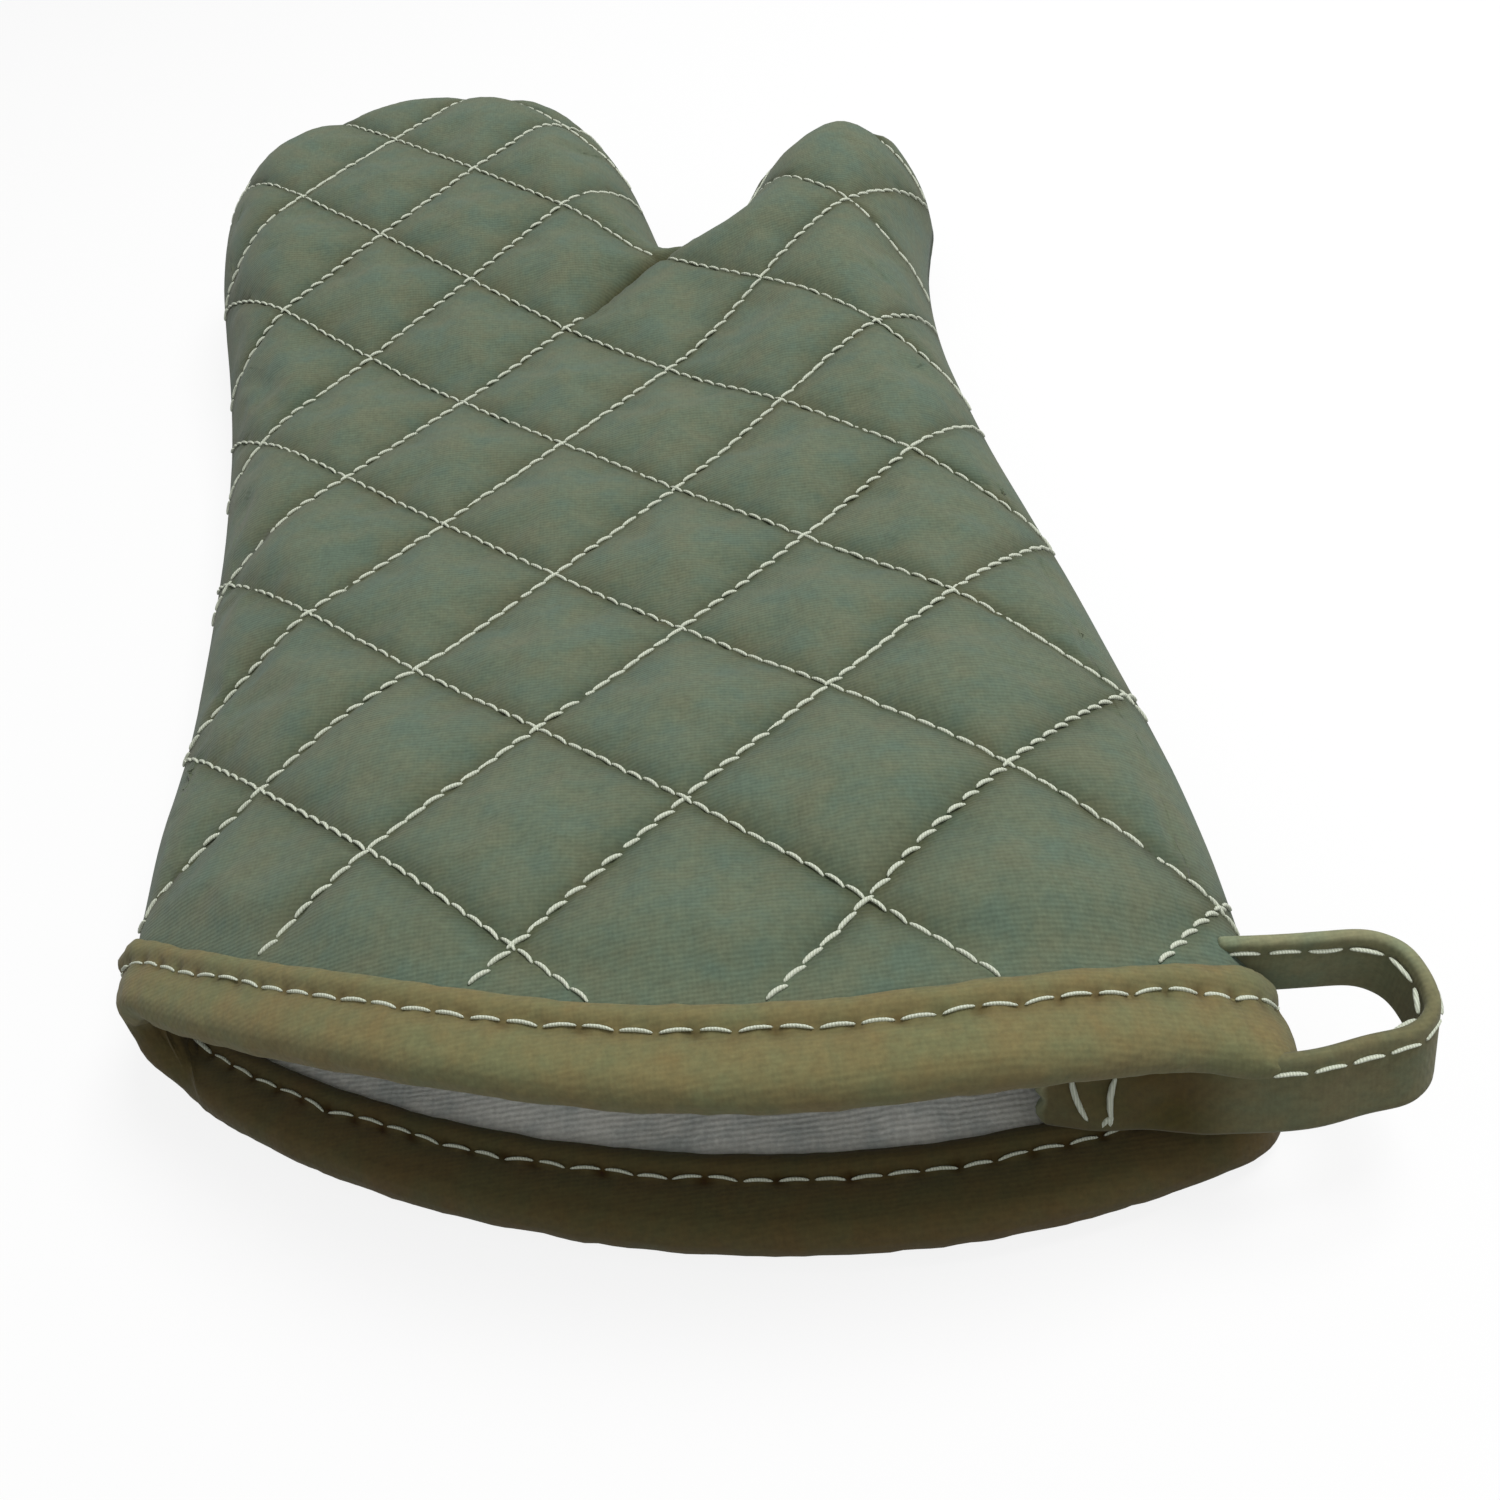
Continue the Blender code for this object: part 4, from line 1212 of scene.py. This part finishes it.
@dataclass
class CuffBinding:
    """The tape folded over the mouth's raw edge, with its topstitch."""

    dent: float = 0.00040
    dent_reach: float = 0.0016
    hole_depth: float = 0.00060
    hole_reach: float = 0.00085
    # Painted shade in the topstitch's dent, as a share
    sewn_share: float = 0.35
    wrinkle: float = 0.00024
    wrinkle_size: float = 0.0055
    fine_share: float = 0.6
    fine_size: float = 0.4
    cuts: int = 7
    # Painted shade on the palm side below this height, where the tape lies under the lip's shadow
    soil: float = 0.90
    painted_shade_height: float = 0.0185
    painted_shade_fade: float = 0.0035
    least_height: float = 0.0004

    def build(self, tape: Material, thread: Material) -> list[Object]:
        """Make the tape and both of its stitch lines.

        Args:
            tape: The tape's cloth.
            thread: The sewing thread.

        Returns:
            The pieces, the tape first.
        """
        lines = {
            name: curve_through(thread_route(f"binding_topstitch_{name}"), 8, closed=True)
            for name in ("outside", "inside")
        }
        made = to_object("cuff_binding_tape", self.dented(list(lines.values())), tape)
        dress(made, "binding_tape", "cuff_binding", fill=0.3)
        pieces = [made]
        surface = tree_of(made)
        for name, line in lines.items():
            sewing = Sewing(surface, 31)
            LOG.info("binding %s: %d stitches", name, sewing.line(line, Lay.TOPSTITCH, closed=True))
            pieces.append(sewing.finish(f"binding_{name}_stitches", thread))
            dress(pieces[-1], "stitching_thread", f"binding_topstitch_{name}")
        return pieces

    def dented(self, lines: list[list[Vector]]) -> BMesh:
        """The tape's mesh, pulled in along its stitching and pierced by the needle, with painted shade in
        the dent, in the holes and on its low palm side.

        Args:
            lines: The topstitch's lines.

        Returns:
            The mesh, with the attribute of painted shade.
        """
        mesh = merged_copy("cuff_binding")
        bmesh.ops.join_triangles(
            mesh,
            faces=mesh.faces,
            angle_face_threshold=math.radians(40),
            angle_shape_threshold=math.radians(60),
        )
        bmesh.ops.subdivide_edges(mesh, edges=mesh.edges[:], cuts=self.cuts, use_grid_fill=True, smooth=0.6)
        mesh.normal_update()
        pitch = STITCHES[Lay.TOPSTITCH].pitch
        stitched = search_tree(p for line in lines for p in line)
        pierced = search_tree(p for line in lines for p in needle_places(line, pitch, True))
        sewn = mesh.verts.layers.float.new("sewn")
        moves = []
        for vert in mesh.verts:
            near = hump(stitched.find(vert.co)[2], self.dent_reach)
            hole = hump(pierced.find(vert.co)[2], self.hole_reach)
            # Painted shade: in the dent, in each needle hole and on the low palm side
            soiled = self.soil * smooth((self.painted_shade_height - vert.co.z) / self.painted_shade_fade + 0.5)
            vert[sewn] = max(near * self.sewn_share, soiled) + hole
            wave = noise.noise(vert.co / self.wrinkle_size)
            wave += self.fine_share * noise.noise(vert.co / (self.wrinkle_size * self.fine_size))
            moves.append(vert.normal * (self.wrinkle * wave - self.dent * near - self.hole_depth * hole))
        for vert, move in zip(mesh.verts, moves):
            vert.co += move
            vert.co.z = max(vert.co.z, self.least_height)
        return mesh


@dataclass(frozen=True)
class LoopCorner:
    """The cuff's corner at the loop: the back laps over the loop's end, the palm is tucked under.

    One warp of space moves every layer there alike, so none comes through another.
    """

    flap_middle: Place = (0.1090, -0.1820, 0.0300)
    flap_size: float = 0.0085
    flap_move: Place = (0.0010, -0.0048, 0.0005)
    flap_from: float = 0.0205
    flap_fade: float = 0.0050
    # The palm's corner draws in just under the seam and rolls out below it: move, height and reach
    tuck: Place = (-0.0100, 0.0152, 0.0042)
    lobe: Place = (0.0058, 0.0010, 0.0050)
    corner_from: Place = (0.0860, -0.1560, 0.0200)
    corner_fade: Place = (0.0240, 0.0200, 0.0030)
    corner_ways: Place = (1.0, -1.0, -1.0)

    def warp(self, piece: Object) -> None:
        """Move a piece's points near the corner.

        Args:
            piece: A piece of the mitt.
        """
        vertices = piece.data.vertices
        flat = np.empty(len(vertices) * 3, np.float32)
        vertices.foreach_get("co", flat)
        at = flat.reshape(-1, 3)
        z = at[:, 2]
        lapped = hump(np.linalg.norm(at - np.array(self.flap_middle), axis=1), self.flap_size)
        lapped *= smooth((z - self.flap_from) / self.flap_fade)
        past = (at - np.array(self.corner_from)) * np.array(self.corner_ways) / np.array(self.corner_fade)
        rolled = sum(move * hump(z - high, reach) for move, high, reach in (self.tuck, self.lobe))
        moved = at + lapped[:, None] * np.array(self.flap_move)
        moved[:, 0] += rolled * np.prod(smooth(past), axis=1)
        vertices.foreach_set("co", moved.astype(np.float32).ravel())
        piece.data.update()


@dataclass
class HangingLoop:
    """The loop: one folded tape from inside the mouth, out round the bend and back to the seam."""

    width: float = 0.0130
    thickness: float = 0.0022
    root: Place = (0.120584, -0.177472, 0.0245)
    spread: float = 0.0200
    reach: float = 0.0117
    squareness: float = 0.74
    rows: int = 8
    end_notch: float = 0.0011
    stitch_inset: float = 0.0022
    stitch_reach: float = 0.0012
    # Painted shade along the edge stitching
    stitch_painted_shade: float = 0.5
    stitch_from: float = 0.1065
    # The stitches' guide line runs just outside the tape's face
    guide_share: float = 0.6
    swing_from: float = 0.1145
    swing_to: float = 0.1265
    # How far the near strand's top leans back for each unit of height
    lean: float = 0.34
    # Painted shade on the near strand, which faces away from the light, deeper on its end inside the mouth
    near_painted_shade: float = 0.7
    inner_painted_shade: float = 1.3
    crumple: float = 0.0016
    crumple_size: float = 0.0065
    crumple_to: float = 0.1060
    crumple_reach: float = 0.0120
    # The near end's route inside the mouth, from its cut end: places of the tape's middle
    near_route: tuple[Place, ...] = (
        (0.0750, -0.1800, 0.0180),
        (0.0850, -0.1825, 0.0200),
        (0.0935, -0.1853, 0.0218),
        (0.1011, -0.1874, 0.0238),
        (0.1121, -0.1886, 0.0245),
    )
    # The far end's route into the side seam, past the bend
    far_route: tuple[Place, ...] = (
        (0.1160, -0.1671, 0.0245),
        (0.1110, -0.1664, 0.0243),
        (0.1060, -0.1655, 0.0240),
    )
    # Both ends of each bar tack's threads, the top first
    tack_ends: dict[str, tuple[tuple[Place, Place], ...]] = field(
        default_factory=lambda: {
            "loop_tack_1": (((0.0797, -0.1812, 0.0245), (0.0826, -0.1819, 0.0165)),),
            "loop_tack_2": (
                ((0.0856, -0.1826, 0.0262), (0.0858, -0.1828, 0.0170)),
                ((0.0857, -0.1828, 0.0180), (0.0848, -0.1828, 0.0128)),
                ((0.0858, -0.1828, 0.0180), (0.0866, -0.1828, 0.0134)),
            ),
        }
    )

    def route(self) -> list[Vector]:
        """The tape's middle line: in from the cut end, round a squarish bend and to the seam.

        Returns:
            Close points from the cut end to the seam.
        """
        points = [Vector(p) for p in self.near_route]
        steps = 8
        for k in range(steps + 1):
            turn = math.pi * (k / steps - 0.5)
            out = abs(math.cos(turn)) ** self.squareness * self.reach
            sideways = math.copysign(abs(math.sin(turn)) ** self.squareness * self.spread * 0.5, turn)
            points.append(Vector(self.root) + Vector((out, sideways, 0.0)))
        points += [Vector(p) for p in self.far_route]
        return curve_through(points, 4)

    def nearness(self, point: Vector) -> float:
        """1 on the near strand, 0 on the far one and between them round the bend."""
        return float(smooth((self.root[1] - point.y) / self.spread + 0.5))

    def strip(self, stations: Stations) -> BMesh:
        """The tape's middle face, drawn out along its route, with its crumpled end and painted shade on the
        near strand, inside the mouth and by the stitching.

        Args:
            stations: The route's points and the tape's faces there.

        Returns:
            The mesh, with the sewn attribute.
        """
        mesh = bmesh.new()
        sewn = mesh.verts.layers.float.new("sewn")
        half = self.width * 0.5
        drops = [half - self.width * k / self.rows for k in range(self.rows + 1)]
        start, following = stations[0][0], stations[1][0]
        end_way = (following - start).normalized() * self.end_notch
        edge = [mesh.verts.new(start + UP * d + end_way * (k % 3)) for k, d in enumerate(drops)]
        line = [mesh.edges.new(pair) for pair in zip(edge, edge[1:])]
        for point, face in stations[1:]:
            grown = bmesh.ops.extrude_edge_only(mesh, edges=line)["geom"]
            verts = sorted((g for g in grown if isinstance(g, BMVert)), key=lambda v: -v.co.z)
            line = [g for g in grown if isinstance(g, BMEdge)]
            near = self.nearness(point)
            inside = smooth((self.crumple_to - point.x) / self.crumple_reach)
            # Painted shade: the near strand darker, more so inside the mouth, and a band by the stitching
            soiled = (self.near_painted_shade + (self.inner_painted_shade - self.near_painted_shade) * inside) * near
            crumple = self.crumple * (inside if point.y < self.root[1] else 0.0)
            for drop, vert in zip(drops, verts):
                bent = noise.noise(Vector((point.x, point.y, drop)) / self.crumple_size)
                vert.co = point + UP * drop + face * bent * crumple
                vert.co.y += self.lean * drop * near
                stitched = self.stitch_painted_shade * hump(half - drop - self.stitch_inset, self.stitch_reach)
                vert[sewn] = max(stitched, soiled)
        bmesh.ops.recalc_face_normals(mesh, faces=mesh.faces)
        return mesh

    def build(self, tape: Material, thread: Material) -> None:
        """Make the tape, its edge stitching and its bar tacks.

        Args:
            tape: The tape's cloth.
            thread: The sewing thread.
        """
        route = self.route()
        ends = zip([route[0], *route], [*route[1:], route[-1]])
        stations = [(point, (b - a).cross(UP).normalized()) for point, (a, b) in zip(route, ends)]
        made = to_object("hanging_loop_tape", self.strip(stations), tape)
        self.apply_modifiers(made)
        nodes = ("hanging_loop", "loop_end_at_seam", "loop_end_in_mouth")
        dress(made, "binding_tape", *nodes, fill=0.2, rides=False)
        surface = tree_of(made)
        self.swing(made)
        for name, side in (("outside", -1.0), ("inside", 1.0)):
            self.swing(self.stitches(surface, stations, side, name, thread))
        self.tacks(surface, thread)

    def swing(self, made: Object) -> None:
        """Bake a piece's place into its own mesh."""
        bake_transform(made)

    def tacks(self, surface: BVHTree, thread: Material) -> None:
        """The two bar tacks that hold the near end in the mouth, the outer one with frayed ends.

        Args:
            surface: The tape's surface.
            thread: The sewing thread.
        """
        outward = Vector((0.0, -self.thickness, 0.0))
        for name, ends in self.tack_ends.items():
            sewing = Sewing(surface, 53)
            for top, foot in ends:
                start, face, _, _ = surface.find_nearest(Vector(top) + outward)
                end, _, _, _ = surface.find_nearest(Vector(foot) + outward)
                sewing.stitch(start, end, face if face.y < 0.0 else -face, STITCHES[Lay.TACK])
            dress(sewing.finish(f"{name}_stitches", thread), "stitching_thread", name)

    def apply_modifiers(self, made: Object) -> None:
        """Give the tape its thickness and round its edges, in its own mesh."""
        wall = made.modifiers.new("wall", "SOLIDIFY")
        wall.thickness = self.thickness
        wall.offset = 0.0
        fine = made.modifiers.new("fine", "SUBSURF")
        fine.levels = 1
        fine.render_levels = 1
        graph = bpy.context.evaluated_depsgraph_get()
        data = bpy.data.meshes.new_from_object(made.evaluated_get(graph))
        made.modifiers.clear()
        made.data = data
        data.shade_smooth()

    def stitches(
        self, surface: BVHTree, stations: Stations, side: float, name: str, thread: Material
    ) -> Object:
        """Sew along the tape's upper edge, on one of its faces.

        Args:
            surface: The tape's surface.
            stations: The route's points and the tape's faces there.
            side: -1 for the outer face and 1 for the inner one.
            name: Which face, in words.
            thread: The sewing thread.

        Returns:
            The piece.
        """
        sewing = Sewing(surface, 47)
        high = self.width * 0.5 - self.stitch_inset
        out = -side * self.thickness * self.guide_share
        back = Vector((0.0, self.lean * high, 0.0))
        shown = [(p, f) for p, f in stations if p.x > self.stitch_from]
        sewing.line([p + f * out + UP * high + back * self.nearness(p) for p, f in shown], Lay.TOPSTITCH)
        made = sewing.finish(f"loop_{name}_stitches", thread)
        dress(made, "stitching_thread", f"loop_stitch_{name}", rides=False)
        return made


@dataclass
class Studio:
    """The pale floor, the soft lamps and the camera."""

    focal: float = 32.4
    sensor: float = 36.0
    place: Place = (0.0501, -0.2840, 0.2026)
    pitch_down: float = 44.81
    yaw: float = -3.70
    roll: float = -11.02
    floor_size: float = 3.0
    floor_height: float = -0.0002
    # Share of the floor's look that is plain white to the camera, whatever shadow falls on it
    paleness: float = 0.85
    ambient: float = 0.38
    # Each lamp's name, place, side and watts
    lamps: tuple[tuple[str, Place, float, float], ...] = (
        ("key", (0.46, 0.18, 1.10), 0.6, 11.0),
        ("fill", (0.2, -0.9, 0.8), 0.9, 1.3),
    )

    def build(self) -> None:
        """Set up all of it."""
        self.camera()
        self.floor()
        self.world()
        for name, place, size, watts in self.lamps:
            self.lamp(name, place, size, watts)
        bpy.context.scene.view_settings.view_transform = "Standard"

    def camera(self) -> None:
        """The photograph's view."""
        turn = Matrix()
        for degrees, axis in ((-self.yaw, "Z"), (90.0 - self.pitch_down, "X"), (self.roll, "Z")):
            turn @= Matrix.Rotation(math.radians(degrees), 4, axis)
        data = bpy.data.cameras.new("view")
        data.lens, data.sensor_width = self.focal, self.sensor
        data.clip_start, data.clip_end = 0.01, 20.0
        camera = bpy.data.objects.new("view", data)
        camera.matrix_world = Matrix.Translation(self.place) @ turn
        bpy.context.scene.collection.objects.link(camera)
        bpy.context.scene.camera = camera

    def floor(self) -> None:
        """A pale floor that the camera sees as white, with the mitt's soft shadow."""
        mesh = bmesh.new()
        bmesh.ops.create_grid(mesh, x_segments=1, y_segments=1, size=self.floor_size)
        bmesh.ops.translate(mesh, verts=mesh.verts, vec=(0.0, 0.0, self.floor_height))
        finish = bpy.data.materials.new("pale_studio_paper")
        finish.use_nodes = True
        tree = finish.node_tree
        shader = tree.nodes["Principled BSDF"]
        shader.inputs["Roughness"].default_value = 0.9
        ray = add_node(tree, "ShaderNodeLightPath").node.outputs
        # Pale to the eye, but only grey in the light that it gives back to the mitt's underside
        tones = {0: ray["Is Camera Ray"], 6: linear("898989"), 7: linear("f6f6f6")}
        tone = add_node(tree, "ShaderNodeMix", tones, 2, data_type="RGBA")
        tree.links.new(tone, shader.inputs["Base Color"])
        seen = ray["Is Camera Ray"]
        for other in ("Is Glossy Ray", "Is Transmission Ray"):
            seen = add_node(tree, "ShaderNodeMath", {0: seen, 1: ray[other]}, operation="MAXIMUM")
        share = add_node(tree, "ShaderNodeMath", {0: seen, 1: self.paleness}, operation="MULTIPLY")
        white = add_node(tree, "ShaderNodeEmission", {"Color": (1.0, 1.0, 1.0, 1.0), "Strength": 1.0})
        mixed = add_node(tree, "ShaderNodeMixShader", {0: share, 1: shader.outputs["BSDF"], 2: white})
        tree.links.new(mixed, tree.nodes["Material Output"].inputs["Surface"])
        to_object("studio_floor", mesh, finish)

    def world(self) -> None:
        """White to the eye, and an even soft light on the mitt."""
        world = bpy.data.worlds.new("studio")
        bpy.context.scene.world = world
        world.use_nodes = True
        tree = world.node_tree
        seen = add_node(tree, "ShaderNodeLightPath", out="Is Camera Ray")
        light = tree.nodes["Background"]
        light.inputs["Color"].default_value = (1.0, 1.0, 1.0, 1.0)
        light.inputs["Strength"].default_value = self.ambient
        shown = add_node(tree, "ShaderNodeBackground", {"Color": (1.0, 1.0, 1.0, 1.0), "Strength": 1.0})
        mixed = add_node(tree, "ShaderNodeMixShader", {0: seen, 1: light.outputs["Background"], 2: shown})
        tree.links.new(mixed, tree.nodes["World Output"].inputs["Surface"])

    def lamp(self, name: str, place: Place, size: float, watts: float) -> None:
        """A square soft lamp that looks at the mitt.

        Args:
            name: Its name.
            place: Where it hangs.
            size: Its side.
            watts: Its power.
        """
        data = bpy.data.lights.new(name, "AREA")
        data.size, data.energy = size, watts
        lamp = bpy.data.objects.new(name, data)
        lamp.location = place
        lamp.rotation_euler = (-Vector(place)).to_track_quat("-Z", "Y").to_euler()
        bpy.context.scene.collection.objects.link(lamp)


def main() -> None:
    """Build every piece in order."""
    logging.basicConfig(level=logging.INFO, format="%(name)s %(message)s")
    Studio().build()
    thread = THREAD.make()
    cloths = (CANVAS.make(), WADDING.make(), LINING.make())
    outline, crease, corner = Outline(), Crease(), LoopCorner()
    pieces = []
    for side in Side:
        pieces += QuiltedHalf(side, outline, crease).build(*cloths, thread)
    pieces += CuffBinding().build(TAPE.make(), thread)
    for piece in pieces:
        corner.warp(piece)
    HangingLoop().build(LOOP_TAPE.make(), thread)
    seam_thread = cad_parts["side_seam_thread"].data.materials
    seam_thread.clear()
    seam_thread.append(thread)
    bpy.context.view_layer.update()


if __name__ == "__main__":
    main()
